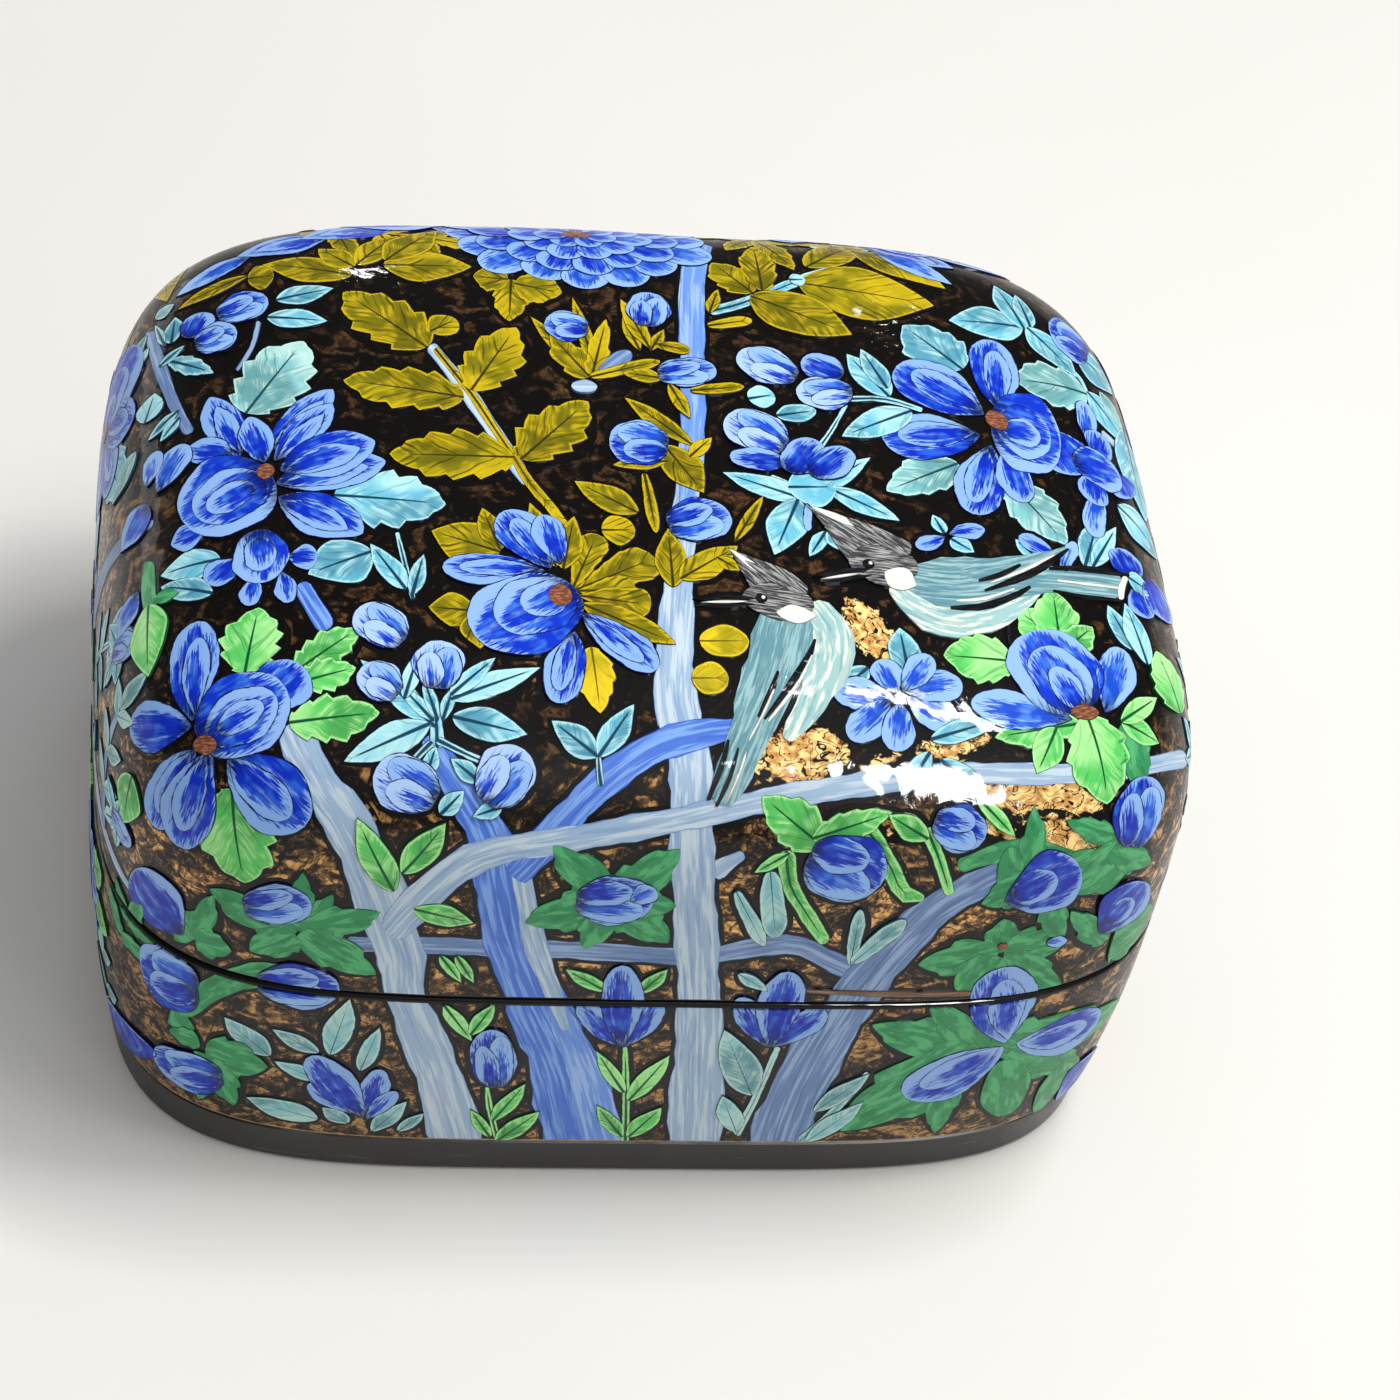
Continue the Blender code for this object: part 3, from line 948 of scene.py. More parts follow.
def shapeShare(name, along, toothed=True, shift=0.0):
    shape = shapes[name]
    peak = shape["peak"]
    turn = np.where(along < peak, along / peak / 2, 0.5 + (along - peak) / (1 - peak) / 2)
    power = np.where(along < peak, shape["base"], shape["tip"])
    share = np.maximum(np.sin(np.pi * turn), 0) ** power
    if toothed and "teeth" in shape:
        share = share * (1 - shape["bite"] * (1 - (along * shape["teeth"] + shift) % 1))
    return share


def startPainting():
    bm = bmesh.new()
    return {
        "bm": bm,
        "stroke": bm.loops.layers.uv.new("stroke"),
        "lay": bm.loops.layers.uv.new("lay"),
        "edge": bm.verts.layers.float.new("edge"),
        "side": bm.verts.layers.float.new("side"),
        "paints": [],
        "count": 0,
    }


covered = []  # points that lie under paint


# Lays a grid on the surface. placeRow says where its points go.
def laySheet(painting, grid, placeRow, paint, layer):
    bm = painting["bm"]
    made = bmesh.ops.create_grid(bm, x_segments=grid[0], y_segments=grid[1], size=1.0)["verts"]
    across = np.array([vert.co.x for vert in made])
    steps = np.array([vert.co.y for vert in made]) / 2 + 0.5
    points, half, length, along = placeRow(across, steps)
    points, normals = settle(points, 9)
    painting["count"] += 1
    count = painting["count"]
    if paint == "halo":
        height = stroke["surroundLift"] + stroke["surroundStep"] * count
    else:
        height = stroke["lift"] * (layer + 1) + stroke["step"] * count
        covered.append(points[::2])
    points = points + normals * height
    if paint not in painting["paints"]:
        painting["paints"].append(paint)
    shift = (count * 17.31 + points[0, 0] * 9000) % 97
    data = {}
    for vert, point, x, u, h in zip(made, points, across, along, half):
        vert.co = point
        side = x * h / mm
        vert[painting["edge"]] = (1 - abs(x)) * h / mm
        vert[painting["side"]] = side
        data[vert] = ((x / 2 + 0.5, u), (side + shift, u * length / mm + shift))
    faces = {face for vert in made for face in vert.link_faces}
    middle = len(points) // 2
    for face in faces:
        face.material_index = painting["paints"].index(paint)
        face.smooth = True
        for loop in face.loops:
            loop[painting["stroke"]].uv, loop[painting["lay"]].uv = data[loop.vert]
    sample = min(faces, key=lambda face: (face.calc_center_median() - made[middle].co).length)
    sample.normal_update()
    if sample.normal.dot(normals[middle]) < 0:
        bmesh.ops.reverse_faces(bm, faces=list(faces))


# Where points lie on the box: picture points, or millimetres on one side of it
def locate(points, board):
    return onWall(points, board) if board else seenAt(points)


# One stroke from its base to its tip, both points of the picture or of a side, with its width there
def layStroke(painting, shape, paint, base, tip, width, layer, board, halo):
    base = np.array(base, float)
    tip = np.array(tip, float)
    run = tip - base
    sideways = np.array([-run[1], run[0]]) / np.linalg.norm(run) * width / 2
    middle = base + run * 0.5
    start, end, left, right = locate([base, tip, middle - sideways, middle + sideways], board)
    length = np.linalg.norm(end - start)
    forward = (end - start) / length
    across = right - left
    across = across - forward * (across @ forward)
    halfWidth = np.linalg.norm(across) / 2
    normal = settle((start + end) / 2)[1][0]
    side = np.cross(forward, normal)
    side = side / np.linalg.norm(side)
    phase = base[0] * 0.37 + base[1] * 0.73
    if halo:
        margin = stroke["surround"]
        atBase, atBothEnds = stroke["surroundEnds"]
        start = start - forward * margin * atBase
        length = length + margin * atBothEnds
        halfWidth = halfWidth + margin

    def placeRow(x, steps):
        along = (1 - np.cos(np.pi * steps)) / 2 * 0.6 + steps * 0.4
        uneven = 1 + stroke["waver"] * np.sin(along * 9 + phase + 2.1 * np.sign(x))
        half = shapeShare(shape, along, not halo, phase + 0.4 * (x > 0)) * halfWidth * uneven
        points = start + forward * (along * length)[:, None] + side * (x * half)[:, None]
        return points, half, length, along

    grid = stroke["grid"] if length > stroke["short"] else stroke["shortGrid"]
    if halo:
        grid = stroke["haloGrid"]
    laySheet(painting, grid, placeRow, "halo" if halo else paint, layer)


# A branch or stem along points of the picture or of a side, each with its width there
def layBranch(painting, paint, route, layer, board, halo):
    knots = np.array(route, float)
    gaps = np.linalg.norm(np.diff(knots[:, :2], axis=0), axis=1)
    total = gaps.sum()
    spacing = stroke["stepOnSide"] if board else stroke["stepInPicture"]
    rows = max(6, int(total / spacing))
    knotAt = np.concatenate([[0], np.cumsum(gaps)]) / total

    def smoothRoute(where):
        cells = np.clip(np.searchsorted(knotAt, where, side="right") - 1, 0, len(knots) - 2)
        t = ((where - knotAt[cells]) / (knotAt[cells + 1] - knotAt[cells]))[:, None]
        p1, p2 = knots[cells], knots[cells + 1]
        p0 = knots[np.maximum(cells - 1, 0)]
        p3 = knots[np.minimum(cells + 2, len(knots) - 1)]
        bend = (2 * p0 - 5 * p1 + 4 * p2 - p3) * t**2 + (3 * p1 - p0 - 3 * p2 + p3) * t**3
        return 0.5 * (2 * p1 + (p2 - p0) * t + bend)

    # more rows towards the ends, which are rounded off
    capStart = knots[0, 2] / 2 / total
    capEnd = knots[-1, 2] / 2 / total
    caps = np.array([0.0, 0.12, 0.4])
    trunk = np.linspace(capStart, 1 - capEnd, rows + 1)
    where = np.concatenate([caps * capStart, trunk, 1 - caps[::-1] * capEnd])
    rows = len(where) - 1
    line = smoothRoute(where)
    line[:, 2] *= np.sqrt(1 - np.clip(1 - where / capStart, 0, 1) ** 2)
    line[:, 2] *= np.sqrt(1 - np.clip(1 - (1 - where) / capEnd, 0, 1) ** 2)
    slope = np.gradient(line[:, :2], where, axis=0)
    sideways = np.stack([-slope[:, 1], slope[:, 0]], axis=1)
    sideways = sideways / np.linalg.norm(slope, axis=1)[:, None]
    paces = where * total / spacing
    slow, quick = stroke["branchWaver"]
    waver = 1 + slow * np.sin(paces * 1.1 + knots[0, 0]) + quick * np.sin(paces * 2.6)
    reach = sideways * (np.maximum(line[:, 2], 0.02 * knots[0, 2]) / 2 * waver)[:, None]
    left = locate(line[:, :2] - reach, board)
    right = locate(line[:, :2] + reach, board)
    if halo:
        outward = right - left
        outward = outward / np.maximum(np.linalg.norm(outward, axis=1), 1e-6)[:, None]
        outward = outward * stroke["surround"] * stroke["surroundBranch"]
        left = left - outward
        right = right + outward
    centre = settle((left + right) / 2)[0]
    length = np.linalg.norm(np.diff(centre, axis=0), axis=1).sum()
    halves = np.linalg.norm(right - left, axis=1) / 2

    def placeRow(x, steps):
        row = np.rint(steps * rows).astype(int)
        share = (x / 2 + 0.5)[:, None]
        return left[row] * (1 - share) + right[row] * share, halves[row], length, where[row]

    laySheet(painting, (stroke["grid"][0], rows), placeRow, "halo" if halo else paint, layer)


# Cuts a painting at the seam and above the foot, and puts each part on the body that carries it
def finishPainting(painting, name):
    bm = painting["bm"]
    bmesh.ops.remove_doubles(bm, verts=bm.verts, dist=0.001 * mm)
    foot = form["seam"] - shells["bodyHeight"] + stroke["footMargin"]
    # each cut is a height and whether what lies under it goes
    lidCuts = [(form["seam"] + stroke["seamMargin"], True)]
    bodyCuts = [(form["seam"] - stroke["seamMargin"], False), (foot, True)]
    halves = (
        ("", "box_lid", "lid_lacquer", lidCuts),
        ("_lower", "box_base", "body_lacquer", bodyCuts),
    )
    for suffix, body, slotName, cuts in halves:
        part = bm.copy()
        for height, clearUnder in cuts:
            bmesh.ops.bisect_plane(
                part, geom=part.verts[:] + part.edges[:] + part.faces[:], dist=0.0005 * mm,
                plane_co=(0, 0, height), plane_no=(0, 0, 1),
                clear_inner=clearUnder, clear_outer=not clearUnder)
        if len(part.faces):
            for edge in part.edges:
                edge.smooth = not edge.is_boundary
            mesh = bpy.data.meshes.new(name + suffix)
            part.to_mesh(mesh)
            for paint in painting["paints"]:
                mesh.materials.append(paints[paint])
            piece = bpy.data.objects.new(name + suffix, mesh)
            bpy.context.scene.collection.objects.link(piece)
            wall = piece.modifiers.new("Paint", "SOLIDIFY")
            wall.thickness = stroke["thickness"]
            wall.offset = -1.0
            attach(piece, body)
        part.free()
    bm.free()


# A closed bud: one rounded petal behind, and two that fold over it from the sides
def closedBud(paint, base, tip, width):
    base = np.array(base, float)
    run = np.array(tip, float) - base
    aside = np.array([-run[1], run[0]]) / np.linalg.norm(run) * width
    return [
        ("cup", paint, base, base + run, width),
        ("cup", "soft", base + aside * 0.1, base + run * 0.88 + aside * 0.2, width * 0.58),
        ("cup", paint, base - aside * 0.08, base + run * 0.74 - aside * 0.2, width * 0.52),
    ]


# A long petal with a smaller one painted inside it
def nestedPetal(shape, paint, base, tip, width):
    base = np.array(base, float)
    run = np.array(tip, float) - base
    aside = np.array([-run[1], run[0]]) / np.linalg.norm(run) * width * 0.05
    return [
        (shape, paint, base, base + run, width),
        (shape, paint, base + run * 0.04 + aside, base + run * 0.84 + aside, width * 0.56),
    ]


# Runs of strokes and single ones, with buds and long petals put together from several, and then the dots
def allStrokes(picture, long):
    single = []
    for kind, *rows in picture.get("runs", []):
        shape, paint = kind.split()
        single += [(shape, paint, row[:2], row[2:4], row[4]) for row in rows]
    made = []
    for shape, paint, base, tip, width in single + picture.get("strokes", []):
        if shape == "bud":
            made += closedBud(paint, base, tip, width)
        elif paint in ("royal", "lily") and math.dist(base, tip) > long:
            made += nestedPetal(shape, paint, base, tip, width)
        else:
            made.append((shape, paint, base, tip, width))
    for paint, centre, size in picture.get("dots", []):
        half = np.array([size[0] / 2, 0])
        made.append(("oval", paint, np.array(centre) - half, np.array(centre) + half, size[1]))
    return made


def paintPiece(name, picture, board=None):
    painting = startPainting()
    layer = picture.get("layer", 1)
    strokes = allStrokes(picture, stroke["longOnSide"] if board else stroke["longInPicture"])
    for halo in (True, False):
        for paint, route in picture.get("branches", []):
            layBranch(painting, paint, route, layer, board, halo)
        for shape, paint, base, tip, width in strokes:
            layStroke(painting, shape, paint, base, tip, width, layer, board, halo)
        painting["count"] = 0
    finishPainting(painting, name)


# Ready-made motifs for the sides that the photo doesn't show. Angles are in degrees.
def outFrom(centre, angle, reach):
    turn = math.radians(angle)
    return (centre[0] + reach * math.cos(turn), centre[1] + reach * math.sin(turn))


# A bloom whose cup opens towards one side, with loose petals on the other and leaves behind
def openBloom(centre, size, angle, leaf, leafAngles, petals):
    made = []
    for leafAngle in leafAngles:
        root = outFrom(centre, leafAngle, size * 0.6)
        made.append(("broad", leaf, root, outFrom(centre, leafAngle, size * 1.6), size * 0.72))
    for number in range(petals):
        turn = angle + 75 + 210 * number / (petals - 1)
        reach = size * (1.06 + 0.12 * math.sin(number * 2.4 + angle))
        root = outFrom(centre, turn, size * 0.1)
        made.append(("petal", "royal", root, outFrom(centre, turn, reach), size * 0.62))
    root = outFrom(centre, angle, size * 0.02)
    for share, width in ((1.05, 1.15), (0.78, 0.78), (0.46, 0.42)):
        made.append(("cup", "cup", root, outFrom(centre, angle, size * share), size * width))
    left, right = outFrom(centre, 180, size * 0.13), outFrom(centre, 0, size * 0.13)
    made.append(("oval", "rust", left, right, size * 0.24))
    return made


# A closed bud over a ragged calyx of four leaves
def calyxBud(base, angle, size, leaf="green"):
    made = []
    root = outFrom(base, angle, size * 0.3)
    for turn, share in ((-62, 0.85), (62, 0.85), (-128, 0.8), (128, 0.8)):
        made.append(("calyx", leaf, root, outFrom(base, angle + turn, size * share), size * 0.6))
    made.append(("bud", "bud", base, outFrom(base, angle, size), size * 0.72))
    return made


# Leaves in pairs along a stem that ends in one leaf
def leafSpray(base, angle, length, leaf, pairs=3, size=8.0, shape="broad"):
    made = []
    for number in range(pairs):
        joint = outFrom(base, angle, length * (0.25 + 0.6 * number / max(pairs - 1, 1)))
        long = size * (1 - 0.12 * number)
        made.append((shape, leaf, joint, outFrom(joint, angle + 58, long), long * 0.5))
        made.append((shape, leaf, joint, outFrom(joint, angle - 58, long * 0.95), long * 0.48))
    root = outFrom(base, angle, length * 0.9)
    made.append((shape, leaf, root, outFrom(base, angle, length + size * 0.8), size * 0.45))
    return made


def leafFan(base, angle, size, leaf, count=3, shape="leaf"):
    made = []
    spread = 150
    for number in range(count):
        turn = angle + spread / count * (number - (count - 1) / 2)
        long = size * (1 - 0.12 * abs(number - (count - 1) / 2))
        made.append((shape, leaf, base, outFrom(base, turn, long), long * 0.44))
    return made


# What is still bare on a side that the photo doesn't show is filled, with large motifs first
fillers = {
    "sizes": (11.5, 9.0, 7.4, 6.0, 4.8, 3.8, 3.0),  # radius of the bare place that each needs, millimetres
    "bloomFrom": 10,  # a bare place of this radius takes a bloom
    "budFrom": 4.5,  # and one of this radius a bud or a large fan of leaves
    "upperFrom": 8,  # millimetres up the side, where the upper leaves begin
    "tries": 700,
    "longest": 14.0,  # of a leaf in a fan
    "low": -30.0,
    "high": 62.0,
    "reach": {"back": 68.0, "left": 54.0, "right": 54.0},
    "seen": {"back": -0.12, "left": 0.07, "right": -0.12},  # how far the side may turn to the camera
    "upperLeaves": ("turquoise", "ochre", "turquoise", "bright"),
    "lowerLeaves": ("green", "blade", "bright"),
}


def fillerMotif(place, angle, size, number):
    upper = place[1] > fillers["upperFrom"]
    leaves = fillers["upperLeaves"] if upper else fillers["lowerLeaves"]
    leaf = leaves[number % len(leaves)]
    if size > fillers["bloomFrom"]:
        leaf = "turquoise" if upper else "bright"
        return openBloom(place, size * 0.82, angle, leaf, (angle + 200, angle - 60), 5)
    if size > fillers["budFrom"] and number % 2 == 0:
        calyx = "green" if not upper else leaf
        return calyxBud(outFrom(place, angle, -0.3 * size), angle, size * 1.4, calyx)
    if size > fillers["budFrom"]:
        shape = "leaf" if number % 3 else "broad"
        long = min(size * 2.0, fillers["longest"])
        return leafFan(outFrom(place, angle, -0.48 * long), angle, long, leaf, 3, shape)
    return leafFan(outFrom(place, angle, -0.8 * size), angle, size * 1.8, leaf, 2)


def fillSide(side, seed):
    random = np.random.default_rng(seed)
    taken = np.concatenate(covered)
    reach = fillers["reach"][side]
    strokes = []
    number = seed
    for size in fillers["sizes"]:
        tries = fillers["tries"]
        across = random.uniform(-reach, reach, tries)
        rising = random.uniform(fillers["low"], fillers["high"], tries)
        angles = random.uniform(30, 150, tries)
        points, normals = settle(onWall(np.stack([across, rising], axis=1), side))
        away = eyePlace() - points
        seen = (normals * away).sum(axis=1) > fillers["seen"][side] * np.linalg.norm(away, axis=1)
        for index in np.flatnonzero(~seen):
            gap = np.linalg.norm(taken - points[index], axis=1).min()
            if gap < size * mm:
                continue
            place = (across[index], rising[index])
            strokes += fillerMotif(place, angles[index], size, number)
            number += 1
            ring = [outFrom(place, turn, size * share) for share in (0.5, 0.95)
                    for turn in range(0, 360, 45)]
            taken = np.concatenate([taken, points[index:index + 1], onWall(ring, side)])
    print("filled", side, "with", len(strokes), "strokes")
    return {"layer": 0, "strokes": strokes}


# A stem for a spray, bent a little halfway
def stemOf(base, angle, length, paint, width=1.2):
    bend = 4
    middle = outFrom(base, angle + bend, length / 2)
    end = outFrom(base, angle, length)
    return (paint, [(*base, width * 1.2), (*middle, width), (*end, width * 0.7)])


# Trunks and branches, lowest in the painting. Each point is (across, down, width) in the picture.
trunks = {
    "trunk_middle": {"branches": [
        ("paleBark", [(694, 1160, 58), (697, 1080, 52), (699, 1000, 44), (692, 850, 44), (690, 760, 42),
         (675, 690, 42), (680, 560, 28), (690, 470, 26), (693, 419, 24), (692, 340, 25), (692, 284, 25),
         (700, 240, 25), (706, 222, 24)]),
        ("skyBark", [(684, 520, 8), (689, 470, 20), (693, 419, 24), (692, 340, 25), (692, 284, 25),
         (700, 240, 25), (706, 222, 24)]),
    ]},
    "trunk_left_pale": {"branches": [
        ("paleBark", [(463, 1160, 54), (440, 1080, 48), (417, 1024, 42), (404, 990, 40), (402, 960, 46),
         (390, 925, 52), (374, 878, 52), (346, 820, 46), (318, 780, 38), (298, 742, 34), (290, 724, 28)]),
    ]},
    "trunk_left_blue": {"branches": [
        ("blueBark", [(592, 1168, 84), (582, 1135, 80), (562, 1060, 70), (530, 990, 56), (508, 930, 52),
         (498, 880, 49), (490, 840, 44), (462, 790, 34), (428, 736, 22)]),
        ("skyBark", [(612, 1168, 46), (602, 1135, 44), (583, 1070, 34), (562, 1020, 24), (550, 990, 10)]),
        ("paleBark", [(566, 1030, 8), (552, 990, 19), (537, 950, 23), (528, 910, 22), (519, 862, 19)]),
    ]},
    "trunk_right": {"branches": [
        ("greyBark", [(772, 1160, 62), (800, 1085, 54), (848, 1007, 44), (873, 974, 42), (930, 914, 34),
         (990, 878, 25), (1050, 852, 16)]),
    ]},
    "branch_grey_left": {"layer": 0, "branches": [
        ("greyBark", [(346, 944, 14), (420, 945, 16), (500, 948, 18), (573, 950, 18), (700, 958, 16)]),
    ]},
    "branch_grey_right": {"layer": 0, "branches": [
        ("greyBark", [(700, 958, 16), (787, 944, 20), (833, 962, 20), (880, 984, 18)]),
        ("paleBark", [(712, 874, 20), (728, 863, 16), (744, 854, 10)]),
    ]},
    "branch_blue": {"layer": 2, "branches": [
        ("blueBark", [(512, 876, 34), (560, 826, 32), (600, 785, 32), (650, 750, 32), (700, 734, 30),
         (745, 728, 18)]),
    ]},
    "branch_arc": {"layer": 3, "branches": [
        ("paleBark", [(388, 934, 30), (420, 900, 34), (460, 866, 32), (500, 850, 28), (558, 841, 26),
         (620, 830, 26), (665, 822, 25), (712, 812, 25), (790, 796, 25), (880, 782, 24), (960, 774, 23),
         (1060, 774, 21), (1120, 770, 20), (1186, 758, 18)]),
    ]},
}

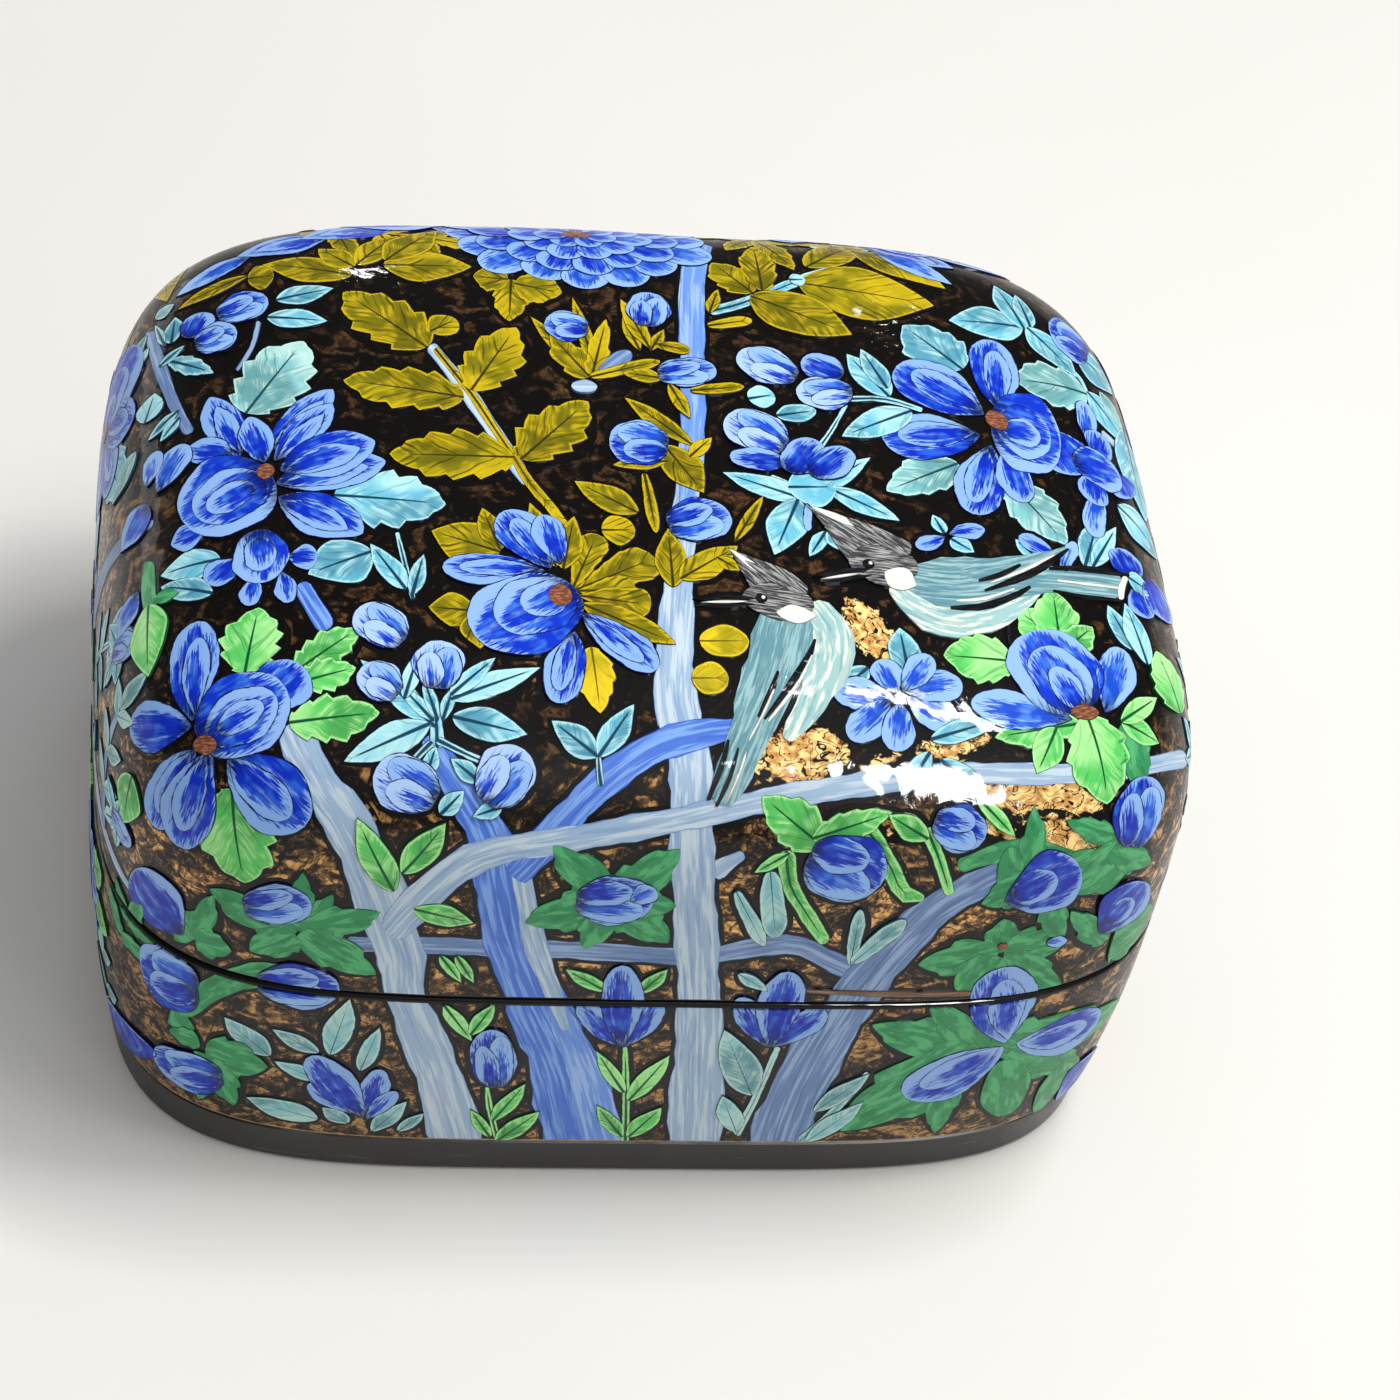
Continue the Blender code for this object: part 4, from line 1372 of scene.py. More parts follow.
# The painting on the front and the crown. Each run of strokes has a shape and a paint, and each stroke in
# it is (from across, from down, to across, to down, width) in the picture. A dot has a middle and a size.
frontPictures = {
    # Gold dabs round the highlight on the front shoulder, painted bright as gold lit by the lamp: a painted
    # highlight over the gold powder
    "gold_dabs_painted_highlight": {"layer": 0, "runs": [
        ("oval gilt", (744, 752, 852, 754, 74), (912, 756, 998, 736, 36), (858, 770, 908, 752, 22),
         (982, 790, 1106, 802, 58), (1024, 816, 1104, 858, 50), (872, 816, 916, 834, 24),
         (978, 822, 1020, 842, 26), (846, 596, 892, 668, 46)),
    ]},
    "ochre_leaves_left": {"layer": 3, "branches": [
        ("paleBark", [(430, 346, 11), (452, 373, 14), (471, 398, 15), (492, 429, 15), (511, 458, 15),
         (528, 484, 11)]),
        ("ochre", [(435, 349, 6), (455, 374, 7), (474, 398, 8), (495, 430, 8), (514, 458, 9),
         (530, 484, 10), (550, 507, 11), (567, 530, 10)]),
    ], "runs": [
        ("ragged ochre", (427, 348, 343, 293, 58)),
        ("oval ochre", (430, 332, 456, 320, 26)),
        ("ragged ochre", (471, 391, 516, 328, 62), (464, 398, 343, 381, 48), (514, 458, 389, 455, 56),
         (521, 460, 588, 402, 62)),
    ]},
    "ochre_leaves_crown_left": {"layer": 3, "runs": [
        ("blade soft", (252, 256, 176, 298, 15)),
        ("blade royal", (330, 238, 236, 258, 18), (400, 228, 300, 240, 14)),
        ("blade ochre", (250, 276, 178, 311, 11)),
        ("oval ochre", (248, 280, 274, 276, 24)),
        ("leaf ochre", (352, 276, 262, 266, 26), (354, 268, 318, 250, 22), (356, 266, 398, 237, 24),
         (383, 266, 472, 268, 30), (385, 262, 437, 233, 28)),
    ]},
    "buds_crown_middle": {"layer": 3, "runs": [
        ("broad ochre", (511, 280, 509, 322, 40), (508, 280, 473, 277, 30), (514, 284, 562, 294, 34)),
        ("blade ochre", (590, 378, 530, 317, 16), (596, 372, 572, 298, 15), (600, 368, 600, 335, 13),
         (640, 352, 622, 318, 13), (650, 352, 664, 330, 13)),
        ("calyx ochre", (590, 378, 550, 336, 34), (592, 376, 606, 320, 26)),
        ("blade ochre", (650, 350, 620, 300, 18)),
        ("finger greyBark", (600, 374, 630, 352, 16)),
        ("finger ochre", (590, 378, 660, 362, 12), (656, 345, 690, 352, 11)),
        ("bud bud", (588, 330, 544, 324, 31), (646, 328, 650, 294, 46)),
        ("finger ochre", (690, 392, 744, 388, 11)),
        ("blade ochre", (668, 384, 690, 420, 15), (664, 380, 622, 374, 14)),
        ("bud bud", (657, 376, 716, 371, 30)),
    ], "dots": [("paleBark", (584, 388), (26, 13))]},
    "ochre_leaves_crown_right": {"layer": 3, "branches": [
        ("turquoise", [(710, 312, 9), (735, 306, 10), (760, 297, 10), (800, 281, 10), (838, 268, 7)]),
    ], "runs": [
        ("leaf ochre", (718, 239, 752, 238, 9), (762, 240, 842, 248, 15), (806, 268, 866, 247, 24),
         (850, 252, 946, 290, 20)),
        ("blade royal", (856, 244, 954, 270, 12)),
        ("blade soft", (874, 254, 952, 286, 14)),
        ("broad ochre", (752, 294, 711, 264, 34), (762, 292, 752, 248, 40)),
        ("leaf ochre", (798, 284, 934, 307, 50), (750, 297, 852, 336, 42), (709, 314, 718, 290, 14)),
        ("finger ochre", (707, 327, 752, 321, 11)),
    ], "dots": [("turquoise", (797, 281), (16, 12))]},
    "buds_upper_left": {"layer": 3, "branches": [
        ("greyBark", [(150, 332, 11), (162, 372, 14), (175, 406, 13), (190, 434, 11)]),
        ("greyBark", [(259, 322, 5), (252, 348, 5), (237, 371, 4)]),
        ("green", [(150, 562, 10), (149, 590, 14), (152, 616, 12)]),
        ("blueBark", [(300, 584, 17), (312, 604, 19), (328, 630, 17)]),
    ], "runs": [
        ("leaf turquoise", (276, 301, 334, 289, 19), (267, 318, 328, 322, 20), (172, 344, 176, 318, 20)),
        ("leaf blade", (156, 320, 175, 305, 9)),
        ("leaf turquoise", (166, 347, 156, 326, 10)),
        ("broad turquoise", (170, 362, 214, 374, 22)),
        ("leaf turquoise", (160, 368, 186, 346, 8)),
        ("blade blade", (148, 336, 127, 378, 8), (150, 348, 136, 374, 6)),
        ("leaf turquoise", (146, 424, 156, 394, 23)),
        ("blade turquoise", (180, 411, 149, 442, 9), (181, 418, 161, 443, 10)),
        ("petal soft", (158, 494, 186, 445, 26), (148, 488, 158, 452, 18)),
        ("blade blade", (138, 452, 114, 506, 11)),
        ("leaf soft", (150, 506, 122, 554, 22)),
        ("blade soft", (140, 592, 120, 640, 16)),
        ("leaf bright", (150, 606, 150, 678, 36)),
        ("leaf green", (156, 600, 180, 594, 14)),
        ("leaf bright", (134, 776, 126, 822, 26)),
        ("bud bud", (218, 318, 268, 300, 30)),
        ("cup bud", (190, 340, 206, 314, 28)),
        ("bud bud", (196, 346, 238, 334, 30)),
    ]},
    "leaves_upper_right": {"layer": 3, "branches": [
        ("turquoise", [(1070, 372, 7), (1079, 382, 7), (1086, 396, 7)]),
    ], "runs": [
        ("leaf turquoise", (1022, 328, 948, 321, 32), (1024, 330, 993, 286, 22),
         (1030, 328, 1014, 295, 16), (1026, 328, 1076, 378, 22), (1074, 352, 1112, 396, 18)),
        ("blade turquoise", (1086, 392, 1126, 450, 18)),
        ("blade blade", (1098, 392, 1122, 432, 9)),
        ("blade turquoise", (1122, 430, 1144, 522, 26), (1116, 506, 1156, 560, 20)),
        ("bud bud", (1086, 354, 1048, 330, 27)),
        ("leaf turquoise", (1040, 562, 1014, 540, 14)),
        ("petal royal", (1054, 556, 1018, 537, 17)),
        ("finger soft", (1062, 572, 1074, 543, 17)),
        ("leaf turquoise", (1084, 568, 1097, 519, 27), (1092, 568, 1115, 528, 21)),
        ("cup bud", (1134, 580, 1117, 549, 26)),
        ("leaf turquoise", (1126, 578, 1150, 596, 16)),
        ("petal royal", (1130, 590, 1147, 620, 21), (1147, 578, 1166, 624, 19)),
        ("leaf turquoise", (1132, 652, 1106, 606, 19), (1146, 666, 1123, 604, 21)),
        ("broad bright", (1178, 714, 1154, 652, 28)),
    ]},
    "flower_upper_left": {"layer": 4, "runs": [
        ("ragged mint", (246, 414, 304, 342, 76)),
        ("ragged turquoise", (334, 496, 446, 505, 64)),
        ("pointed royal", (240, 458, 210, 398, 44), (232, 455, 188, 449, 30), (269, 452, 333, 390, 34),
         (274, 462, 333, 404, 32), (265, 464, 249, 418, 36), (276, 485, 386, 462, 40),
         (280, 472, 375, 442, 46), (278, 498, 363, 535, 46), (207, 531, 172, 546, 26)),
        ("cup cup", (272, 476, 183, 522, 80), (266, 480, 196, 517, 52), (255, 486, 208, 512, 28)),
    ], "dots": [("rust", (266, 473), (18, 16))]},
    "flower_small_left": {"layer": 4, "branches": [
        ("turquoise", [(413, 600, 6), (406, 570, 6), (397, 533, 5)]),
    ], "runs": [
        ("leaf turquoise", (372, 552, 308, 575, 48), (406, 590, 370, 544, 24), (412, 596, 424, 554, 18),
         (221, 560, 161, 577, 30), (213, 594, 161, 588, 26)),
        ("petal royal", (238, 560, 207, 584, 28), (288, 558, 318, 558, 26), (254, 578, 249, 607, 24),
         (282, 572, 289, 604, 24)),
        ("cup cup", (258, 531, 263, 584, 58), (258, 538, 262, 572, 34)),
    ]},
    "flower_left": {"layer": 4, "runs": [
        ("ragged bright", (245, 674, 259, 608, 68), (296, 672, 359, 629, 44), (296, 684, 356, 668, 40),
         (289, 723, 380, 713, 54), (233, 788, 245, 882, 88)),
        ("petal royal", (193, 722, 198, 622, 50), (193, 727, 131, 727, 52), (197, 749, 154, 825, 47),
         (229, 752, 305, 826, 72), (213, 752, 178, 845, 56), (257, 712, 303, 667, 56)),
        ("cup cup", (200, 742, 287, 690, 82), (208, 738, 277, 698, 54), (218, 732, 264, 704, 28)),
    ], "dots": [("rust", (206, 745), (24, 20))]},
    "spray_left": {"layer": 4, "branches": [
        ("turquoise", [(437, 748, 16), (436, 720, 14), (432, 695, 9)]),
        ("turquoise", [(437, 740, 9), (470, 756, 8), (490, 764, 7)]),
        ("turquoise", [(432, 742, 9), (416, 758, 8), (408, 770, 7)]),
        ("turquoise", [(601, 786, 7), (599, 770, 7), (598, 752, 6)]),
    ], "runs": [
        ("blade turquoise", (436, 728, 360, 660, 26), (434, 722, 400, 686, 16), (438, 722, 423, 678, 14),
         (442, 722, 454, 686, 14)),
        ("leaf turquoise", (450, 700, 541, 668, 25), (450, 696, 496, 658, 19), (452, 717, 528, 735, 34),
         (430, 724, 343, 762, 34), (404, 700, 420, 650, 18), (598, 757, 551, 721, 30),
         (598, 757, 634, 705, 28), (440, 814, 464, 790, 22), (426, 776, 436, 746, 18),
         (480, 782, 450, 758, 20), (502, 806, 472, 816, 18)),
        ("leaf bright", (394, 890, 357, 817, 33), (402, 872, 446, 822, 31)),
        ("bud paleBud", (402, 644, 360, 608, 46), (436, 690, 441, 642, 54), (398, 696, 362, 668, 42),
         (436, 800, 376, 768, 60), (484, 802, 524, 750, 60)),
    ]},
    "spray_right": {"layer": 4, "branches": [
        ("turquoise", [(803, 504, 12), (790, 488, 9), (770, 478, 6)]),
        ("turquoise", [(803, 504, 12), (806, 470, 10), (832, 430, 6), (846, 405, 5)]),
        ("turquoise", [(846, 400, 6), (884, 400, 6), (922, 411, 5)]),
    ], "runs": [
        ("leaf turquoise", (804, 500, 722, 473, 22), (806, 496, 871, 458, 22)),
        ("blade turquoise", (824, 487, 900, 522, 20)),
        ("oval turquoise", (788, 488, 836, 488, 40)),
        ("leaf turquoise", (798, 500, 774, 556, 42)),
        ("finger soft", (807, 504, 808, 532, 10)),
        ("leaf turquoise", (826, 532, 809, 558, 17), (828, 532, 846, 553, 18), (889, 398, 846, 355, 27),
         (887, 390, 860, 350, 21), (911, 412, 841, 438, 31)),
        ("oval turquoise", (748, 400, 774, 396, 24), (776, 417, 816, 412, 19)),
        ("leaf turquoise", (944, 535, 932, 516, 14), (950, 540, 974, 554, 16)),
        ("petal royal", (945, 538, 916, 549, 18), (948, 536, 984, 530, 18)),
        ("bud paleBud", (796, 380, 738, 354, 36)),
        ("cup bud", (842, 378, 802, 360, 28)),
        ("bud paleBud", (852, 394, 796, 396, 34), (784, 450, 728, 416, 44)),
        ("cup bud", (786, 464, 729, 458, 23), (788, 474, 816, 442, 40), (812, 478, 850, 452, 36)),
    ]},
    "flower_upper_right": {"layer": 4, "runs": [
        ("broad turquoise", (962, 370, 902, 326, 50)),
        ("broad mint", (1086, 395, 1012, 380, 46), (958, 464, 886, 492, 46), (1006, 480, 1066, 546, 46)),
        ("petal royal", (997, 410, 991, 341, 50), (984, 416, 896, 367, 48), (980, 436, 882, 440, 48),
         (991, 446, 972, 515, 54), (1046, 430, 1082, 476, 46), (1004, 448, 1022, 504, 34)),
        ("cup cup", (990, 424, 1060, 446, 78), (996, 426, 1050, 442, 50), (1002, 428, 1040, 440, 26)),
        ("finger soft", (1088, 440, 1083, 403, 20), (1096, 496, 1092, 538, 25)),
        ("petal royal", (1098, 464, 1098, 434, 29), (1090, 474, 1094, 506, 30),
         (1112, 474, 1129, 500, 22)),
        ("cup cup", (1072, 464, 1119, 480, 36)),
    ], "dots": [("rust", (996, 422), (22, 20))]},
    "lotus": {"layer": 4, "runs": [
        ("broad bright", (1058, 640, 1018, 612, 42), (1060, 650, 1052, 590, 52),
         (1062, 652, 1092, 628, 38), (1014, 662, 943, 656, 54), (1080, 724, 994, 738, 38)),
        ("leaf bright", (1056, 728, 1036, 774, 34)),
        ("broad green", (1124, 722, 1140, 792, 34)),
        ("broad bright", (1086, 716, 1106, 804, 66)),
        ("leaf bright", (1120, 722, 1158, 744, 23), (1120, 722, 1156, 698, 23)),
        ("petal soft", (1072, 720, 970, 704, 38), (1104, 714, 1122, 650, 42)),
        ("cup cup", (1078, 714, 1032, 632, 84), (1080, 712, 1040, 648, 54), (1080, 710, 1052, 668, 28)),
    ], "dots": [("rust", (1084, 713), (28, 16))]},
    "flower_shoulder": {"layer": 4, "runs": [
        ("leaf turquoise", (908, 672, 899, 628, 34), (868, 668, 842, 690, 24)),
        ("petal soft", (896, 700, 832, 690, 34), (890, 700, 850, 740, 36), (900, 702, 896, 752, 36),
         (906, 698, 956, 726, 34), (904, 692, 962, 684, 34), (896, 694, 880, 660, 32),
         (902, 692, 930, 656, 32)),
        ("leaf turquoise", (930, 740, 1000, 720, 24), (940, 760, 990, 800, 26), (930, 752, 900, 796, 24)),
    ], "dots": [("yellow", (724, 642), (50, 33)), ("yellow", (710, 679), (37, 34))]},
    "flower_middle": {"layer": 5, "runs": [
        ("fan ochre", (570, 595, 597, 535, 34), (573, 592, 655, 559, 40), (575, 592, 636, 590, 30),
         (575, 596, 651, 606, 34)),
        ("blade ochre", (580, 604, 676, 645, 28)),
        ("leaf ochre", (563, 570, 574, 517, 30), (556, 568, 529, 503, 26), (500, 553, 431, 532, 44),
         (500, 551, 482, 509, 28), (474, 612, 428, 608, 34), (474, 614, 480, 650, 34)),
        ("broad yellow", (591, 648, 600, 714, 42)),
        ("petal royal", (551, 570, 504, 512, 46), (560, 566, 542, 516, 34), (545, 572, 442, 569, 32),
         (575, 632, 556, 704, 44), (580, 614, 657, 671, 36)),
        ("cup cup", (577, 592, 474, 637, 84), (573, 588, 498, 625, 62), (568, 588, 524, 612, 38)),
    ], "dots": [("rust", (560, 597), (24, 22)), ("ochre", (618, 532), (34, 30))]},
    "buds_on_trunk": {"layer": 5, "runs": [
        ("blade ochre", (694, 447, 624, 398, 18)),
        ("leaf ochre", (664, 446, 704, 494, 36), (689, 458, 712, 438, 16)),
        ("blade ochre", (668, 462, 612, 466, 14)),
        ("finger ochre", (644, 474, 656, 534, 13)),
        ("leaf ochre", (638, 514, 574, 482, 26), (673, 588, 668, 529, 32), (680, 580, 738, 547, 30)),
        ("blade ochre", (716, 558, 740, 572, 13), (734, 544, 763, 497, 14)),
        ("bud bud", (668, 448, 609, 440, 46), (668, 528, 729, 514, 46)),
    ]},
    "buds_right": {"layer": 4, "branches": [
        ("bright", [(836, 832, 14), (866, 830, 20), (888, 862, 19), (903, 892, 17), (924, 897, 8)]),
        ("bright", [(786, 850, 18), (790, 884, 18), (806, 912, 17), (826, 942, 12)]),
        ("bright", [(926, 828, 16), (938, 856, 14), (950, 894, 11)]),
        ("green", [(958, 866, 14), (1000, 852, 20), (1040, 850, 22), (1086, 866, 18)]),
    ], "runs": [
        ("broad bright", (826, 848, 762, 796, 54), (812, 838, 892, 812, 34)),
        ("blade bright", (790, 852, 754, 872, 13)),
        ("calyx green", (1030, 872, 1034, 806, 30)),
        ("finger green", (1008, 908, 1010, 846, 26)),
        ("calyx green", (1040, 878, 981, 903, 36), (1044, 880, 1100, 850, 34),
         (1116, 838, 1066, 820, 28), (1134, 842, 1073, 893, 46), (1048, 900, 1060, 940, 34),
         (1110, 850, 1150, 862, 34), (1104, 940, 1070, 910, 34), (1110, 942, 1150, 908, 34)),
        ("finger blade", (850, 963, 860, 908, 15), (852, 961, 905, 918, 17), (736, 890, 764, 944, 17),
         (770, 870, 775, 936, 27)),
        ("bud bud", (810, 852, 880, 884, 74)),
        ("blade bright", (975, 795, 1015, 836, 17)),
        ("leaf bright", (928, 838, 888, 814, 26)),
        ("bud bud", (934, 818, 984, 838, 50)),
        ("petal bud", (1004, 900, 1080, 868, 58)),
        ("cup bud", (1012, 896, 1056, 874, 32)),
        ("bud bud", (1130, 846, 1142, 776, 48)),
        ("petal bud", (1098, 932, 1143, 880, 38)),
        ("cup bud", (1106, 922, 1130, 896, 20)),
    ]},
    "flower_base_right": {"layer": 3, "runs": [
        ("calyx green", (1001, 952, 1004, 918, 44), (998, 952, 918, 964, 40), (1004, 950, 1066, 940, 44),
         (1006, 954, 1060, 988, 40), (992, 954, 960, 996, 44), (985, 1050, 872, 1024, 52),
         (985, 1052, 930, 1000, 44), (975, 1046, 840, 1130, 66), (950, 1070, 934, 1132, 38),
         (990, 1040, 1118, 1000, 50), (1010, 1050, 1078, 1062, 44)),
        ("blade green", (1064, 1058, 1034, 1114, 18)),
        ("oval green", (1004, 1058, 1006, 1114, 50)),
        ("petal lily", (1015, 1042, 1098, 1018, 38), (1004, 1045, 905, 1096, 42),
         (1004, 1042, 1001, 966, 70), (1054, 1100, 1100, 1048, 34)),
    ], "dots": [("rust", (1002, 945), (10, 7)), ("soft", (1056, 940), (20, 12))]},
    "buds_front_left": {"layer": 3, "branches": [
        ("green", [(300, 976, 18), (258, 974, 24), (222, 984, 26), (186, 1006, 24), (178, 1020, 20),
         (193, 1032, 14)]),
    ], "runs": [
        ("calyx green", (300, 930, 303, 872, 34), (302, 932, 333, 894, 30), (302, 930, 380, 912, 36),
         (300, 932, 376, 974, 40), (298, 930, 210, 888, 40), (296, 934, 250, 950, 40),
         (196, 938, 160, 900, 34), (196, 936, 214, 894, 32), (196, 938, 232, 950, 30),
         (200, 1040, 170, 1030, 20), (206, 1048, 268, 1066, 40), (204, 1052, 200, 1098, 36),
         (210, 1056, 234, 1104, 34)),
        ("petal bud", (184, 934, 137, 868, 46)),
        ("bud bud", (244, 906, 311, 900, 42), (198, 988, 142, 964, 56), (258, 980, 340, 988, 44),
         (222, 1074, 157, 1060, 40)),
        ("petal bud", (134, 1052, 122, 1014, 24)),
    ]},
    "sprig_base_left": {"layer": 3, "runs": [
        ("leaf blade", (270, 1055, 224, 1016, 22), (319, 1052, 272, 1028, 15), (330, 1054, 350, 998, 30),
         (360, 1070, 380, 1026, 20), (320, 1079, 274, 1060, 14), (318, 1118, 246, 1096, 20),
         (348, 1122, 322, 1106, 15), (372, 1130, 407, 1100, 18), (398, 1130, 424, 1112, 12)),
        ("petal bud", (362, 1114, 309, 1082, 22), (366, 1114, 380, 1068, 30), (364, 1116, 312, 1054, 38),
         (366, 1118, 396, 1090, 18)),
    ]},
    "sprigs_front": {"layer": 3, "branches": [
        ("bright", [(625, 1146, 9), (626, 1100, 8), (625, 1046, 6)]),
        ("bright", [(500, 1146, 8), (490, 1110, 7), (487, 1086, 5)]),
        ("blade", [(736, 1134, 8), (756, 1096, 8), (778, 1046, 6)]),
        ("blade", [(800, 1140, 8), (836, 1108, 8), (868, 1072, 6)]),
    ], "runs": [
        ("leaf bright", (624, 1092, 596, 1050, 17), (628, 1100, 670, 1054, 20),
         (628, 1136, 662, 1106, 19), (622, 1136, 596, 1104, 17), (492, 1120, 526, 1082, 17),
         (496, 1140, 540, 1110, 18), (490, 1136, 470, 1108, 14), (444, 1004, 472, 1040, 17),
         (470, 1034, 495, 1002, 17), (440, 954, 462, 982, 13), (456, 954, 474, 982, 13)),
        ("leaf blade", (752, 1094, 724, 1028, 40), (736, 1130, 722, 1094, 26),
         (814, 1110, 870, 1072, 17), (806, 1140, 864, 1100, 18), (738, 972, 768, 990, 13)),
        ("bud bud", (496, 1086, 490, 1028, 48)),
    ]},
    "buds_front": {"layer": 4, "runs": [
        ("calyx green", (612, 898, 553, 845, 46), (616, 896, 680, 849, 46), (608, 902, 525, 922, 44),
         (618, 904, 668, 942, 46), (620, 900, 676, 906, 36), (610, 906, 584, 948, 40)),
        ("leaf bright", (414, 908, 474, 922, 22), (606, 990, 565, 968, 15), (640, 992, 668, 968, 15)),
        ("petal bud", (622, 1046, 580, 1002, 28), (624, 1046, 660, 1000, 28), (622, 1046, 622, 964, 44),
         (768, 1046, 739, 996, 30), (771, 1046, 824, 1008, 28), (769, 1046, 788, 970, 46)),
        ("bud bud", (576, 898, 653, 902, 50)),
        ("petal soft", (630, 900, 656, 888, 22)),
    ]},
    # The edge of the lid is rubbed back to the pulp here
    "worn_rim": {"layer": 8, "branches": [
        ("worn", [(786, 989, 2), (830, 991, 4), (880, 993, 5), (940, 993, 5), (990, 991, 4),
         (1016, 988, 2)]),
    ]},
    "bird_left": {"layer": 7, "branches": [
        ("cream", [(808, 606, 26), (824, 628, 46), (826, 660, 54), (812, 694, 42), (798, 722, 24),
         (786, 740, 10)]),
        ("plume", [(792, 606, 30), (786, 624, 54), (780, 650, 64), (768, 690, 58), (752, 728, 46),
         (738, 762, 36), (727, 788, 32), (720, 804, 26)]),
        ("ink", [(815, 640, 3), (806, 662, 8), (786, 692, 8), (764, 720, 3)]),
        ("white", [(812, 656, 2), (798, 684, 4), (776, 712, 4), (768, 722, 2)]),
        ("ink", [(800, 684, 3), (790, 708, 7), (774, 736, 3)]),
        ("ink", [(778, 672, 3), (770, 694, 7), (758, 718, 3)]),
        ("white", [(774, 690, 2), (762, 716, 3), (748, 742, 2)]),
        ("ink", [(728, 740, 3), (722, 764, 6), (708, 800, 4)]),
        ("ink", [(738, 748, 2), (730, 776, 5), (716, 806, 3)]),
        ("white", [(746, 752, 2), (738, 776, 3), (726, 802, 2)]),
    ], "runs": [
        ("spike soot", (796, 606, 727, 548, 44)),
        ("oval soot", (742, 597, 814, 608, 36)),
        ("blade white", (770, 580, 728, 550, 7)),
        ("blade soot", (800, 594, 744, 562, 10)),
        ("blade ink", (756, 600, 692, 600, 7), (756, 606, 694, 607, 5)),
        ("blade white", (748, 603, 700, 604, 3), (776, 614, 816, 618, 18)),
    ], "dots": [("ink", (761, 600), (12, 10)), ("white", (763, 599), (4, 4))]},
    "bird_right": {"layer": 7, "branches": [
        ("ink", [(1004, 618, 4), (1008, 632, 4), (1010, 646, 3)]),
        ("cream", [(890, 588, 8), (908, 600, 26), (944, 616, 42), (986, 614, 40), (1020, 600, 24),
         (1042, 588, 8)]),
        ("plume", [(896, 574, 8), (918, 580, 34), (958, 584, 50), (1004, 580, 44), (1044, 580, 28),
         (1084, 584, 24), (1112, 588, 24), (1122, 590, 16)]),
        ("plume", [(960, 576, 12), (1010, 568, 20), (1044, 560, 14), (1066, 550, 5)]),
        ("ink", [(984, 592, 3), (1018, 580, 8), (1046, 566, 8), (1068, 550, 3)]),
        ("white", [(990, 584, 2), (1022, 572, 4), (1054, 556, 2)]),
        ("ink", [(978, 582, 3), (1000, 576, 6), (1020, 566, 3)]),
        ("ink", [(950, 609, 3), (982, 608, 8), (1012, 598, 7), (1030, 588, 3)]),
        ("white", [(956, 602, 2), (984, 600, 4), (1014, 590, 2)]),
        ("ink", [(1048, 570, 3), (1080, 570, 6), (1128, 577, 4)]),
        ("ink", [(1052, 592, 2), (1084, 598, 4), (1120, 602, 3)]),
        ("white", [(1056, 582, 2), (1090, 586, 3), (1120, 590, 2)]),
        ("white", [(1124, 578, 6), (1120, 590, 7), (1120, 601, 5)]),
    ], "runs": [
        ("spike soot", (900, 568, 807, 508, 50)),
        ("oval soot", (848, 562, 918, 570, 40)),
        ("blade white", (862, 530, 810, 508, 7)),
        ("blade soot", (908, 558, 846, 520, 12)),
        ("blade ink", (870, 571, 813, 578, 7), (872, 577, 822, 584, 5)),
        ("blade white", (862, 575, 820, 581, 3), (884, 574, 916, 588, 24)),
    ], "dots": [("ink", (868, 566), (12, 10)), ("white", (870, 565), (4, 4))]},
}

# The large bloom on the crown: rings of petals round a middle, sizes in millimetres
crownBloom = {
    "middle": (576, 238),
    "layer": 4,
    "squash": 0.84,  # the bloom is drawn wider than it is deep
    "turn": 0.35,  # of each ring from the one outside it, in radians
    "rings": [  # petals, radius of their roots, radius of their tips, width
        (16, 10.0, 19.5, 7.2),
        (14, 6.5, 15.0, 6.5),
        (11, 3.4, 10.5, 5.5),
        (7, 0.8, 6.2, 4.5),
    ],
    "paint": ["soft", "royal", "cup", "royal"],
    "heart": 2.4,
}


def layRing(painting, bloom, ring, paint, start, shape="petal"):
    count, inner, outer, width = ring
    centre, normal = settle(seenAt([bloom["middle"]]))
    centre, normal = centre[0], normal[0]
    level = np.cross([0.0, 0.0, 1.0], normal)
    if np.linalg.norm(level) < 0.05:
        level = np.array([1.0, 0.0, 0.0])
    level = level / np.linalg.norm(level)
    upward = np.cross(normal, level)
    for number in range(count):
        angle = start + 2 * math.pi * number / count
        outward = level * math.cos(angle) + upward * (math.sin(angle) * bloom["squash"])
        long = outer * (1 + 0.06 * math.sin(number * 2.4 + count))
        root, tip = settle([centre + outward * inner * mm, centre + outward * long * mm])[0]
        length = np.linalg.norm(tip - root)
        forward = (tip - root) / length
        side = np.cross(forward, settle((root + tip) / 2)[1][0])
        side = side / np.linalg.norm(side)

        def placeRow(x, steps):
            along = (1 - np.cos(np.pi * steps)) / 2
            half = shapeShare(shape, along) * width * mm / 2
            points = root + forward * (along * length)[:, None] + side * (x * half)[:, None]
            return points, half, length, along

        laySheet(painting, stroke["grid"], placeRow, paint, bloom["layer"])


def paintBloom(name, bloom):
    painting = startPainting()
    for number, (ring, paint) in enumerate(zip(bloom["rings"], bloom["paint"])):
        layRing(painting, bloom, ring, paint, number * bloom["turn"])
    layRing(painting, bloom, (3, 0.0, bloom["heart"], bloom["heart"]), "rust", 0.4, "oval")
    finishPainting(painting, name)


